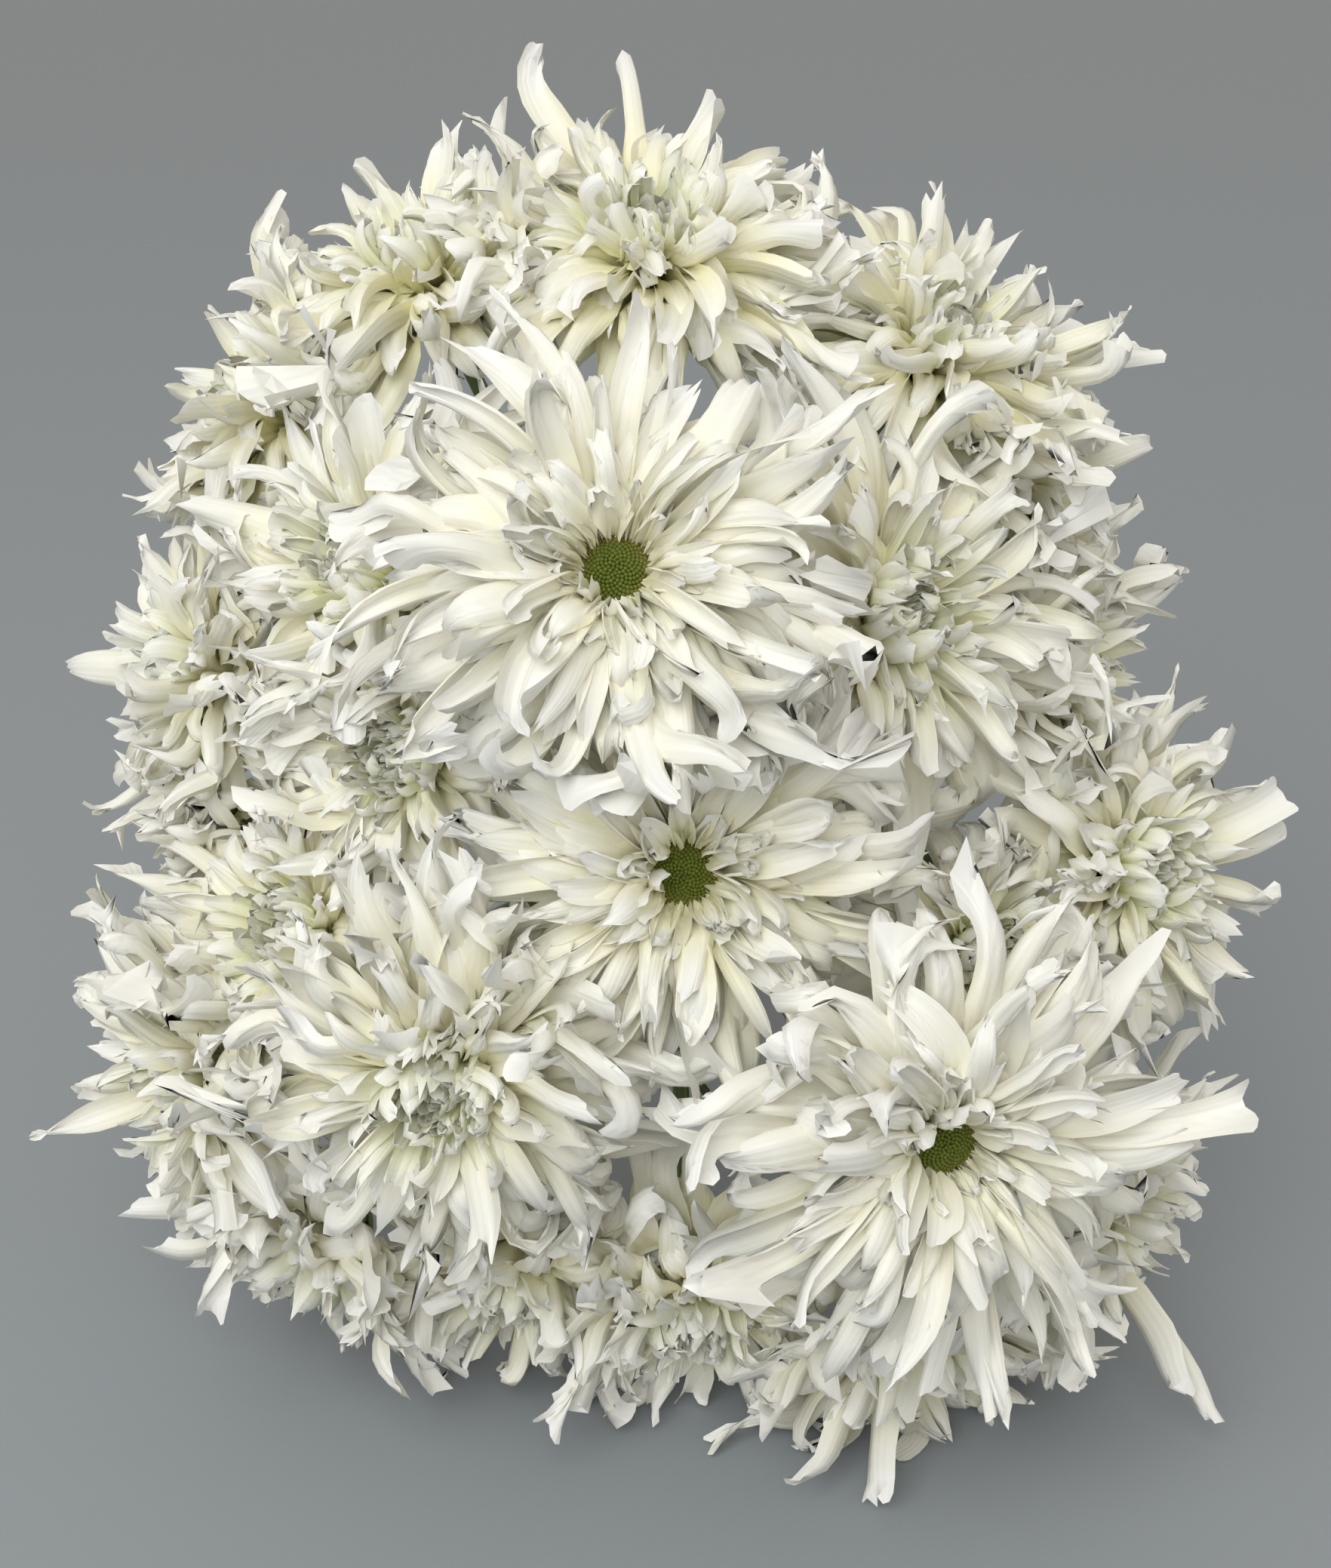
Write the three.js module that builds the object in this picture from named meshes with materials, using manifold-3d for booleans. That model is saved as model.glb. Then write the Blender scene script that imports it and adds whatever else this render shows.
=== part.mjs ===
// Spray chrysanthemum: one cut stem that branches to twenty-four white blooms, lying on a flat surface.
// Units are millimetres and +Z is up. The surface is z = 0, the head of blooms faces -Y, tipped up,
// and the cut end of the stem lies towards +Y.
import * as THREE from "three";
import { mergeVertices } from "three/addons/utils/BufferGeometryUtils.js";
import Module from "manifold-3d";

const wasm = await Module();
wasm.setup();

// The head: where its middle is, and how far its face is tipped up from level.
const HEAD_MIDDLE = new THREE.Vector3(2.3, -97, 90);
const HEAD_TIP_UP = THREE.MathUtils.degToRad(25);

// Every bloom, with its eye and the way that it faces measured in the head's own directions:
// right, up and out, as seen by someone who looks straight at the head's face.
// reach is the radius over its longest petals, and disc is the radius of its green eye where that shows.
// strays are the tips of single long petals that stand out of the bloom.
const BLOOMS = [
  { eye: [-8, 34, 120], faces: [0.02, 0.14, 1], reach: 45, disc: 5.6 },
  { eye: [3, -15, 104], faces: [0, -0.12, 1], reach: 43, disc: 5.4 },
  { eye: [46, -59, 108], faces: [0.28, -0.22, 1], reach: 46, disc: 5.8 },
  { eye: [-37, -50, 96], faces: [-0.2, -0.45, 1], reach: 41 },
  {
    eye: [-86, -55, 56],
    faces: [-1, -0.3, 0.6],
    reach: 39,
    strays: [
      [-117, -41, 50],
      [-116, -58, 50],
      [-119, -67, 50],
    ],
  },
  { eye: [-66, -27, 70], faces: [-0.6, 0.25, 0.9], reach: 37 },
  {
    eye: [-88, 21, 46],
    faces: [-1, 0.1, 0.5],
    reach: 37,
    strays: [
      [-120, 24, 35],
      [-112, 34, 35],
      [-104, 46, 40],
    ],
  },
  { eye: [-52, 38, 80], faces: [-0.55, 0.25, 0.8], reach: 38 },
  { eye: [-46, 5, 82], faces: [-0.5, -0.1, 1], reach: 34 },
  { eye: [-76, 74, 40], faces: [-0.8, 0.6, 0.5], reach: 36, strays: [[-86, 120, 20], [-100, 68, 30]] },
  { eye: [-45, 95, 51], faces: [-0.4, 0.8, 0.6], reach: 41, strays: [[-46, 131, 30], [-65, 120, 30]] },
  {
    eye: [-3, 97, 64],
    faces: [0, 0.72, 0.75],
    reach: 43,
    strays: [
      [-7, 143, 40],
      [-31, 137, 40],
      [27, 119, 50],
    ],
  },
  { eye: [51, 82, 50], faces: [0.5, 0.6, 0.65], reach: 43, strays: [[94, 88, 40]] },
  { eye: [68, 58, 36], faces: [0.95, 0.3, 0.4], reach: 39, strays: [[98, 68, 40]] },
  { eye: [39, 29, 82], faces: [0.55, 0.16, 0.8], reach: 45 },
  {
    eye: [76, 20, 38],
    faces: [1, 0, 0.4],
    reach: 38,
    strays: [
      [95, 50, 42],
      [101, 37, 40],
      [96, 16, 45],
    ],
  },
  { eye: [86, -16, 60], faces: [0.6, 0.02, 0.8], reach: 36, strays: [[114, -3, 60], [106, -27, 60]] },
  { eye: [57, -31, 71], faces: [0.3, 0.1, 1], reach: 30 },
  { eye: [5, -96, 57], faces: [0.05, -0.8, 0.6], reach: 35 },
  { eye: [-27, -91, 55], faces: [-0.2, -0.85, 0.6], reach: 36 },
  {
    eye: [46, -104, 54],
    faces: [0.2, -0.85, 0.5],
    reach: 38,
    strays: [
      [25, -131, 70],
      [36, -129, 70],
    ],
  },
  {
    eye: [84, -82, 46],
    faces: [0.85, -0.45, 0.35],
    reach: 35,
    strays: [
      [101, -118, 60],
      [94, -112, 62],
    ],
  },
  { eye: [-89, -8, 34], faces: [-1, -0.1, 0.3], reach: 31 },
  {
    eye: [-66, -88, 46],
    faces: [-0.5, -0.8, 0.4],
    reach: 36,
    strays: [
      [-98, -92, 50],
      [-102, -82, 50],
    ],
  },
];

// The receptacle in the middle of a bloom, as rings up its axis from its root, and the green disc on top.
const EYE_ABOVE_ROOT = 9;
const HEART_SHARE = 0.4;
const RECEPTACLE_SIDES = 6;
const RECEPTACLE = [
  { height: 1, radius: 4.5 },
  { height: 2.2, radius: 8.8 },
  { height: 6, radius: 7.8 },
];
const DISC_SEAT = 6.3;
const DISC_SIDES = 12;
const DISC_MARGIN = 0.7;
const DISC_HEIGHT = 3;
const DISC_RINGS = [
  { share: 1, height: 1.4 },
  { share: 0.72, height: 2 },
  { share: 0.4, height: 2.5 },
];
const FLORET_HEIGHT = 0.5;

// The rings of petals. share is a petal's length as a share of the bloom's reach. rise is the slope that it
// leaves with, in degrees above the receptacle's face, and bend is how much that slope changes to its tip.
// stations are where its sections are, as shares of its length. A bloom whose reach is under SMALL_REACH
// has one petal fewer in each outer ring.
const RINGS = [
  {
    petals: 7,
    share: 1.0,
    rise: 20,
    bend: -34,
    width: 18,
    root: 6.6,
    height: 3.6,
    stations: [0, 0.44, 0.8],
    forked: true,
  },
  {
    petals: 6,
    share: 0.84,
    rise: 45,
    bend: -34,
    width: 15.5,
    root: 5.6,
    height: 5.2,
    stations: [0, 0.44, 0.8],
  },
  {
    petals: 4,
    share: 0.56,
    rise: 70,
    bend: -20,
    width: 11,
    root: 4,
    height: 6.4,
    stations: [0, 0.7],
  },
];
const SMALL_REACH = 36;
const OPEN_ROOT_HEIGHT = 5.2;
const CLOSED_INNER_BEND = 22;
const PETAL_STEPS = 16;
const PETAL_WIDTH_AT = { 0: 0.12, 0.44: 0.88, 0.7: 1, 0.8: 0.9 };
const PETAL_THICKNESS = 1.5;
const FORK_SPREAD = 0.76;
const FORK_STEP = 3;
const SAG = 0.32;

// How much one petal differs from the next: its place round the ring as a share of the space between
// petals, its angles in degrees, and its length as a share of the ring's. DRAW picks the set of draws.
const DRAW = 160;
const PLACE_VARIES = 0.1;
const RISE_VARIES = 7;
const BEND_VARIES = 14;
const SWAY_VARIES = 14;
const LENGTH_SHARES = [0.9, 1.06];
const ROOT_SHARE = 0.6;
const STRAY_WIDTH = 12;
const IDS_IN_RING = 100;
const HASH_FACTORS = [374761393, 668265263, 2246822519, 1274126177];
const HASH_RANGE = 2 ** 32;

// Blooms press against each other along flat boundaries. Petals turn aside within TURN_WITHIN of one.
// Each ring of petals stays one layer further inside, and every second petal of a ring half a layer.
const TURN_WITHIN = 9;
const TURN_BACK = 0.25;
const PETAL_CLEARANCE = 1.2;
const PETAL_LAYER = 1.8;
const BOUNDARY_GAP = 0.2;
const STEM_GAP = 0.35;
const FLOOR_CLEARANCE = 0.5;

// The stem, from its cut end up to the middle bloom, and its side branches.
const STEM_ROUTE = [
  [10, 247, 3.2],
  [9, 185, 3.7],
  [7, 115, 10],
  [3, 51, 29],
  [1, 5, 49],
];
const STEM_ROUTE_IN_HEAD = [
  [0, -2, -60],
  [1, -5, 20],
];
const STEM_RADIUS_AT_CUT = 3.6;
const STEM_RADIUS_AT_TOP = 1.8;
const STEM_SIDES = 7;
const STEM_STEPS = 10;
const MIDDLE_BLOOM = 1;
const FIRST_BRANCH = 0.5;
const LAST_BRANCH = 0.84;
const BRANCH_RADIUS = 1.6;
const BRANCH_SIDES = 4;
const BRANCH_STEPS = 3;
const LEAVE_STRAIGHT = 0.3;
const ARRIVE_STRAIGHT = 0.35;
const CALYX = [
  { height: -4.5, radius: 1.6 },
  { height: -1.5, radius: 4.8 },
  { height: 0.3, radius: 6 },
];

// Leaves: how far along the stem each grows, which way round the stem from straight up, in degrees,
// how long it is, and how hard it droops.
const LEAVES = [
  { along: 0.2, round: 85, length: 62, droop: 1.1 },
  { along: 0.28, round: -85, length: 70, droop: 1.1 },
  { along: 0.36, round: 75, length: 74, droop: 1.1 },
  { along: 0.43, round: -70, length: 72, droop: 0.8 },
  { along: 0.5, round: 30, length: 70, droop: 0.4 },
  { along: 0.54, round: -108, length: 66, droop: 0.3 },
];
// Half the outline of a lobed leaf, as shares of its length: along the rib, and out from it.
const LEAF_OUTLINE = [
  [0, 0.016],
  [0.2, 0.02],
  [0.27, 0.13],
  [0.4, 0.27],
  [0.45, 0.12],
  [0.6, 0.3],
  [0.7, 0.14],
  [0.84, 0.17],
  [0.93, 0.07],
];
const LEAF_STEPS = 40;
const LEAF_THICKNESS = 0.8;
const LEAF_FOLD = 0.28;
const LEAF_OUTWARD = 0.72;
const LEAF_FORWARD = 0.7;
const LEAF_START = 1.5;

// Points closer than WELD are one point. BLOCK is the side of a cube that is larger than the whole spray.
const WELD = 1e-4;
const BLOCK = 700;

const UP = new THREE.Vector3(0, 0, 1);
const DOWN = new THREE.Vector3(0, 0, -1);
const FLOOR = new THREE.Vector3(0, 0, 0);
const HEAD_RIGHT = new THREE.Vector3(1, 0, 0);
const HEAD_UP = new THREE.Vector3(0, Math.sin(HEAD_TIP_UP), Math.cos(HEAD_TIP_UP));
const HEAD_OUT = new THREE.Vector3(0, -Math.cos(HEAD_TIP_UP), Math.sin(HEAD_TIP_UP));

// The head's own right, up and out turned into the part's frame.
function headDirection([right, up, out]) {
  return new THREE.Vector3()
    .addScaledVector(HEAD_RIGHT, right)
    .addScaledVector(HEAD_UP, up)
    .addScaledVector(HEAD_OUT, out);
}

function headPoint(place) {
  return headDirection(place).add(HEAD_MIDDLE);
}

// Draws values from 0 to 1, one after another, that are always the same for one petal of one bloom.
function drawsFor(bloom, petal) {
  const [first, second, third, last] = HASH_FACTORS;
  let draw = 0;
  return () => {
    draw += 1;
    const mixed = Math.imul(DRAW + bloom, first) + Math.imul(petal, second) + Math.imul(draw, third);
    const stirred = Math.imul(mixed ^ (mixed >>> 13), last);
    return ((stirred ^ (stirred >>> 16)) >>> 0) / HASH_RANGE;
  };
}

function between(low, high, share) {
  return low + (high - low) * share;
}

function eitherSide(middle, most, share) {
  return between(middle - most, middle + most, share);
}

function geometryOf(points, faces) {
  const geometry = new THREE.BufferGeometry().setFromPoints(points);
  geometry.setIndex(faces.flat());
  return geometry;
}

// A closed solid through rings of points. Each ring runs anticlockwise, seen from the next one,
// and a last ring of one point is a tip.
function loft(rings) {
  const count = rings[0].length;
  const faces = [];
  for (let i = 1; i < count - 1; i++) {
    faces.push([0, i + 1, i]);
  }
  rings.slice(1).forEach((ring, r) => {
    const start = r * count;
    const next = start + count;
    for (let i = 0; i < count; i++) {
      const j = (i + 1) % count;
      if (ring.length === 1) {
        faces.push([start + i, start + j, next]);
      } else {
        faces.push([start + i, start + j, next + j], [start + i, next + j, next + i]);
      }
    }
  });
  if (rings.at(-1).length > 1) {
    const last = (rings.length - 1) * count;
    for (let i = 1; i < count - 1; i++) {
      faces.push([last, last + i, last + i + 1]);
    }
  }
  return geometryOf(rings.flat(), faces);
}

// A closed three.js geometry as a solid that can be joined and cut.
function solidOf(geometry) {
  const bare = geometry.clone();
  bare.deleteAttribute("normal");
  bare.deleteAttribute("uv");
  const merged = mergeVertices(bare, WELD);
  return new wasm.Manifold(
    new wasm.Mesh({
      numProp: 3,
      vertProperties: merged.attributes.position.array,
      triVerts: new Uint32Array(merged.index.array),
    }),
  );
}

function fused(solids) {
  return solids.reduce((joined, solid) => joined.add(solid));
}

// The biggest body of a solid, without the scraps that a cut leaves loose.
function mainBody(solid) {
  return solid.decompose().reduce((most, body) => (body.volume() > most.volume() ? body : most));
}

// Everything beyond a flat boundary, which is a point on it and the way out through it.
function beyond(point, normal) {
  const block = new THREE.BoxGeometry(BLOCK, BLOCK, BLOCK);
  const turn = new THREE.Quaternion().setFromUnitVectors(UP, normal);
  const middle = point.clone().addScaledVector(normal, BLOCK / 2);
  block.applyMatrix4(new THREE.Matrix4().compose(middle, turn, new THREE.Vector3(1, 1, 1)));
  return solidOf(block);
}

// A named mesh that stands at a point of its own, such as the root of a bloom.
function pieceOf(name, solid, material, at) {
  const { numProp, vertProperties, triVerts } = solid.getMesh();
  const geometry = new THREE.BufferGeometry();
  const positions = new Float32Array((vertProperties.length / numProp) * 3);
  for (let i = 0; i < positions.length / 3; i++) {
    positions.set(vertProperties.subarray(i * numProp, i * numProp + 3), i * 3);
  }
  geometry.setAttribute("position", new THREE.BufferAttribute(positions, 3));
  geometry.setIndex(new THREE.BufferAttribute(triVerts, 1));
  geometry.translate(-at.x, -at.y, -at.z);
  geometry.computeVertexNormals();
  const mesh = new THREE.Mesh(geometry, material);
  mesh.name = name;
  mesh.position.copy(at);
  return mesh;
}

// Where a bloom stands: its eye, the way it faces, and the root under it that its branch reaches.
function frameOf(bloom, index) {
  const axis = headDirection(bloom.faces).normalize();
  const eye = headPoint(bloom.eye);
  const side = new THREE.Vector3().crossVectors(HEAD_UP, axis).normalize();
  const across = new THREE.Vector3().crossVectors(axis, side);
  const root = eye.clone().addScaledVector(axis, -EYE_ABOVE_ROOT);
  const heart = root.clone().addScaledVector(axis, bloom.reach * HEART_SHARE);
  return { ...bloom, index, axis, eye, side, across, root, heart, out: bloom.eye[2] };
}

// A ring of points round a bloom's axis, at a height above its root.
function circle(frame, { height, radius }, sides) {
  const middle = frame.root.clone().addScaledVector(frame.axis, height);
  return Array.from({ length: sides }, (_, i) => {
    const angle = (i / sides) * 2 * Math.PI;
    return middle
      .clone()
      .addScaledVector(frame.side, Math.cos(angle) * radius)
      .addScaledVector(frame.across, Math.sin(angle) * radius);
  });
}

// The flat boundaries that a bloom shares with its neighbours, and the surface that it lies on.
function boundariesOf(frame, frames) {
  const boundaries = [{ point: FLOOR, normal: DOWN, clearance: FLOOR_CLEARANCE, gap: 0 }];
  for (const other of frames) {
    const apart = other.heart.clone().sub(frame.heart);
    const distance = apart.length();
    if (other === frame || distance > frame.reach + other.reach) {
      continue;
    }
    const share = 0.5 + (frame.reach ** 2 - other.reach ** 2) / (2 * distance ** 2);
    const point = frame.heart.clone().addScaledVector(apart, share);
    boundaries.push({ point, normal: apart.normalize(), clearance: PETAL_CLEARANCE, gap: BOUNDARY_GAP });
  }
  return boundaries;
}

// Turns a growing petal or leaf aside before it would cross a boundary, and lays it flat along it.
function turnAside(point, along, side, boundaries, layer) {
  for (const { point: on, normal, clearance } of boundaries) {
    const room = on.clone().sub(point).dot(normal) - clearance - layer;
    const near = THREE.MathUtils.clamp(1 - room / TURN_WITHIN, 0, 1);
    const outward = Math.max(along.dot(normal), 0);
    along.addScaledVector(normal, -outward * near);
    if (room < 0) {
      along.addScaledVector(normal, -TURN_BACK);
    }
    along.normalize();
    side.addScaledVector(normal, -side.dot(normal) * near * near);
  }
  side.addScaledVector(along, -side.dot(along)).normalize();
}

// How petal k of a ring grows: where it leaves the receptacle, its slope and bend, its sway and its length.
function growthOf(frame, ringIndex, k) {
  const ring = RINGS[ringIndex];
  const draw = drawsFor(frame.index, ringIndex * IDS_IN_RING + k);
  const closed = ringIndex === RINGS.length - 1 && !frame.disc;
  const root = frame.disc ? Math.max(ring.root, frame.disc) : ring.root;
  const angle = slotAngle(frame, ringIndex, eitherSide(k, PLACE_VARIES, draw()));
  const openBend = eitherSide(ring.bend, BEND_VARIES, draw());
  return {
    angle,
    bend: THREE.MathUtils.degToRad(closed ? CLOSED_INNER_BEND : openBend),
    rise: THREE.MathUtils.degToRad(eitherSide(ring.rise, RISE_VARIES, draw())),
    length: frame.reach * ring.share * between(...LENGTH_SHARES, draw()) - root * ROOT_SHARE,
    sway: THREE.MathUtils.degToRad(eitherSide(0, SWAY_VARIES, draw())),
    root,
    height: frame.disc ? Math.min(ring.height, OPEN_ROOT_HEIGHT) : ring.height,
    layer: PETAL_LAYER * (ringIndex + (k % 2) / 2),
    sag: SAG * ring.share,
    width: ring.width,
  };
}

function petalsIn(frame, ringIndex) {
  const outer = ringIndex < RINGS.length - 1;
  return RINGS[ringIndex].petals - (outer && frame.reach < SMALL_REACH ? 1 : 0);
}

// Which way a place in a ring lies round the bloom's axis. Each ring of each bloom has a turn of its own.
function slotAngle(frame, ringIndex, place) {
  const turn = drawsFor(frame.index, -1 - ringIndex)();
  return (place / petalsIn(frame, ringIndex) + turn) * 2 * Math.PI;
}

// The growth of a long stray petal, which leaves from under the others and runs straight to its tip.
function strayGrowth(frame, tip) {
  const away = headPoint(tip).sub(frame.root);
  const angle = Math.atan2(away.dot(frame.across), away.dot(frame.side));
  const { root, height } = RINGS[0];
  const outward = Math.hypot(away.dot(frame.across), away.dot(frame.side)) - root;
  const upward = away.dot(frame.axis) - height;
  const length = Math.hypot(outward, upward);
  const rise = Math.atan2(upward, outward);
  return { angle, rise, length, root, height, bend: 0, sway: 0, layer: 0, sag: 0, width: STRAY_WIDTH };
}

// The growths of a ring's petals. In the outermost ring a stray takes the place of the petal nearest to it.
function growthsOf(frame, ringIndex) {
  const petals = petalsIn(frame, ringIndex);
  const growths = Array.from({ length: petals }, (_, k) => growthOf(frame, ringIndex, k));
  if (ringIndex === 0) {
    for (const tip of frame.strays ?? []) {
      const stray = strayGrowth(frame, tip);
      const turn = (stray.angle - slotAngle(frame, ringIndex, 0)) / (2 * Math.PI);
      growths[THREE.MathUtils.euclideanModulo(Math.round(turn * petals), petals)] = stray;
    }
  }
  return growths;
}

// The middle line of a petal: stations with a point, the way it runs, the way across, and up.
function petalLine(frame, boundaries, { angle, bend, rise, length, sway, root, height, layer, sag }) {
  const radial = frame.side.clone().multiplyScalar(Math.cos(angle));
  radial.addScaledVector(frame.across, Math.sin(angle));
  const tangent = new THREE.Vector3().crossVectors(frame.axis, radial);
  const point = frame.root.clone().addScaledVector(radial, root).addScaledVector(frame.axis, height);
  const side = tangent.clone();
  const stations = [];
  for (let step = 0; step <= PETAL_STEPS; step++) {
    const t = step / PETAL_STEPS;
    const slope = rise + bend * t * t;
    const along = radial.clone().multiplyScalar(Math.cos(slope) * Math.cos(sway * t));
    along.addScaledVector(tangent, Math.cos(slope) * Math.sin(sway * t));
    along.addScaledVector(frame.axis, Math.sin(slope));
    along.addScaledVector(DOWN, sag * t * t).normalize();
    turnAside(point, along, side, boundaries, layer);
    const upper = new THREE.Vector3().crossVectors(along, side);
    stations.push({ point: point.clone(), along: along.clone(), side: side.clone(), upper });
    point.addScaledVector(along, length / PETAL_STEPS);
  }
  return stations;
}

function stationAt(stations, t) {
  return stations[Math.round(t * (stations.length - 1))];
}

// A petal with a keel under it, widest past its middle. Its tip is one point, or two with a notch between.
function petal(stations, ring, width) {
  const sections = ring.stations.map((t) => {
    const { point, side, upper } = stationAt(stations, t);
    const half = (width / 2) * PETAL_WIDTH_AT[t];
    return [
      point.clone().addScaledVector(side, -half),
      point.clone().addScaledVector(upper, -PETAL_THICKNESS),
      point.clone().addScaledVector(side, half),
    ];
  });
  const tip = stations.at(-1);
  if (ring.forked) {
    return forkedPetal(sections, tip, (width / 2) * FORK_SPREAD);
  }
  return loft([...sections, [tip.point]]);
}

function forkedPetal(sections, tip, spread) {
  const [left, , right] = sections.at(-1);
  const notch = left.clone().add(right).multiplyScalar(0.5);
  const leftTip = tip.point.clone().addScaledVector(tip.side, -spread);
  const rightTip = tip.point.clone().addScaledVector(tip.side, spread);
  rightTip.addScaledVector(tip.along, -FORK_STEP);
  const last = 3 * (sections.length - 1);
  const [L, K, R, N, LT, RT] = [0, 1, 2, 3, 4, 5].map((i) => last + i);
  const faces = [[0, 2, 1]];
  for (let start = 0; start < last; start += 3) {
    const [a, b, c, d, e, f] = [0, 1, 2, 3, 4, 5].map((i) => start + i);
    faces.push([a, b, e], [a, e, d], [b, c, f], [b, f, e]);
    if (start + 3 === last) {
      faces.push([c, a, N], [a, d, N], [c, N, f]);
    } else {
      faces.push([c, a, d], [c, d, f]);
    }
  }
  faces.push([L, K, LT], [K, N, LT], [N, L, LT], [K, R, RT], [R, N, RT], [N, K, RT]);
  return geometryOf([...sections.flat(), notch, leftTip, rightTip], faces);
}

// The receptacle: a low knob, with a flat top that a green disc sits on where the eye is open.
function receptacle(frame) {
  const rings = RECEPTACLE.map((level) => circle(frame, level, RECEPTACLE_SIDES));
  return frame.disc ? loft(rings) : loft([...rings, [frame.eye]]);
}

// One bloom's petals and receptacle in one body, cut clear of its neighbours, the surface and the stem.
function bloom(frame, frames, stemRoom) {
  const boundaries = boundariesOf(frame, frames);
  const petals = RINGS.flatMap((ring, ringIndex) =>
    growthsOf(frame, ringIndex).map((growth) => {
      return solidOf(petal(petalLine(frame, boundaries, growth), ring, growth.width));
    }),
  );
  let body = fused([solidOf(receptacle(frame)), ...petals]);
  for (const { point, normal, gap } of boundaries) {
    body = body.subtract(beyond(point.clone().addScaledVector(normal, -gap), normal));
  }
  return mainBody(body.subtract(stemRoom));
}

// The green eye: a low dome whose florets are raised in rings.
function disc(frame) {
  const rim = frame.disc - DISC_MARGIN;
  const levels = DISC_RINGS.map(({ share, height }) => {
    const level = circle(frame, { height: DISC_SEAT + height, radius: rim * share }, DISC_SIDES);
    return level.map((point, i) => point.addScaledVector(frame.axis, i % 2 ? FLORET_HEIGHT : 0));
  });
  const seat = circle(frame, { height: DISC_SEAT, radius: rim }, DISC_SIDES);
  const peak = frame.root.clone().addScaledVector(frame.axis, DISC_SEAT + DISC_HEIGHT);
  return solidOf(loft([seat, ...levels, [peak]]));
}

// Rings of points round a curve, with a radius for each. They line up with lastSide at its end.
function tubeRings(curve, radii, sides, lastSide) {
  const steps = radii.length - 1;
  const normal = lastSide.clone();
  const rings = [];
  for (let step = steps; step >= 0; step--) {
    const along = curve.getTangentAt(step / steps);
    normal.addScaledVector(along, -normal.dot(along)).normalize();
    const across = new THREE.Vector3().crossVectors(along, normal);
    const middle = curve.getPointAt(step / steps);
    const ring = Array.from({ length: sides }, (_, i) => {
      const angle = (i / sides) * 2 * Math.PI;
      return middle
        .clone()
        .addScaledVector(normal, Math.cos(angle) * radii[step])
        .addScaledVector(across, Math.sin(angle) * radii[step]);
    });
    rings.unshift(ring);
  }
  return rings;
}

function trunkCurve(frames) {
  const middle = frames[MIDDLE_BLOOM];
  return new THREE.CatmullRomCurve3(
    [
      ...STEM_ROUTE.map((place) => new THREE.Vector3(...place)),
      ...STEM_ROUTE_IN_HEAD.map(headPoint),
      middle.root.clone().addScaledVector(middle.axis, CALYX[0].height),
    ],
    false,
    "centripetal",
  );
}

// The calyx under a bloom, which its receptacle sits on. extra makes a piece of stem that much fatter.
function calyx(frame, sides, extra) {
  return CALYX.slice(1).map(({ height, radius }) => {
    return circle(frame, { height: height + extra, radius: radius + extra }, sides);
  });
}

// A side branch from the trunk to a bloom, ending in its calyx.
function branch(frame, trunk, along, extra) {
  const start = trunk.getPointAt(along);
  const reach = frame.root.distanceTo(start);
  const leave = start.clone().addScaledVector(trunk.getTangentAt(along), reach * LEAVE_STRAIGHT);
  const arrive = frame.root.clone().addScaledVector(frame.axis, -reach * ARRIVE_STRAIGHT);
  const foot = frame.root.clone().addScaledVector(frame.axis, CALYX[0].height);
  const curve = new THREE.CubicBezierCurve3(start, leave, arrive, foot);
  const radii = Array(BRANCH_STEPS + 1).fill(BRANCH_RADIUS + extra);
  const stalk = tubeRings(curve, radii, BRANCH_SIDES, frame.side);
  return solidOf(loft([...stalk, ...calyx(frame, BRANCH_SIDES, extra)]));
}

// The whole stem. The rim's branches leave it first, and those of the blooms furthest out leave it last.
function stem(frames, trunk, extra) {
  const radii = Array.from({ length: STEM_STEPS + 1 }, (_, step) => {
    return between(STEM_RADIUS_AT_CUT, STEM_RADIUS_AT_TOP, step / STEM_STEPS) + extra;
  });
  const middle = frames[MIDDLE_BLOOM];
  const others = frames.filter((frame) => frame !== middle).sort((a, b) => a.out - b.out);
  const branches = others.map((frame, i) => {
    return branch(frame, trunk, between(FIRST_BRANCH, LAST_BRANCH, i / (others.length - 1)), extra);
  });
  const stalk = tubeRings(trunk, radii, STEM_SIDES, middle.side);
  return fused([solidOf(loft([...stalk, ...calyx(middle, STEM_SIDES, extra)])), ...branches]);
}

// One lobed leaf: it leaves the stem towards the head, arches over and droops, folded along its rib.
function leaf({ along, round, length, droop }, trunk, stemRoom) {
  const forward = trunk.getTangentAt(along);
  const outward = UP.clone().addScaledVector(forward, -forward.z).normalize();
  outward.applyAxisAngle(forward, THREE.MathUtils.degToRad(round));
  const direction = outward.clone().multiplyScalar(LEAF_OUTWARD).addScaledVector(forward, LEAF_FORWARD);
  const side = new THREE.Vector3().crossVectors(UP, direction).normalize();
  const surface = [{ point: FLOOR, normal: DOWN, clearance: LEAF_THICKNESS }];
  const point = trunk.getPointAt(along).addScaledVector(outward, LEAF_START);
  const stations = [];
  for (let step = 0; step <= LEAF_STEPS; step++) {
    const t = step / LEAF_STEPS;
    const way = direction.clone().addScaledVector(DOWN, droop * t * t).normalize();
    turnAside(point, way, side, surface, 0);
    const upper = new THREE.Vector3().crossVectors(way, side);
    stations.push({ point: point.clone(), side: side.clone(), upper });
    point.addScaledVector(way, length / LEAF_STEPS);
  }
  const sections = LEAF_OUTLINE.map(([t, out]) => leafSection(stationAt(stations, t), out * length));
  const blade = solidOf(loft([...sections, [stations.at(-1).point]]));
  return mainBody(blade.subtract(stemRoom).subtract(beyond(FLOOR, DOWN)));
}

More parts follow.
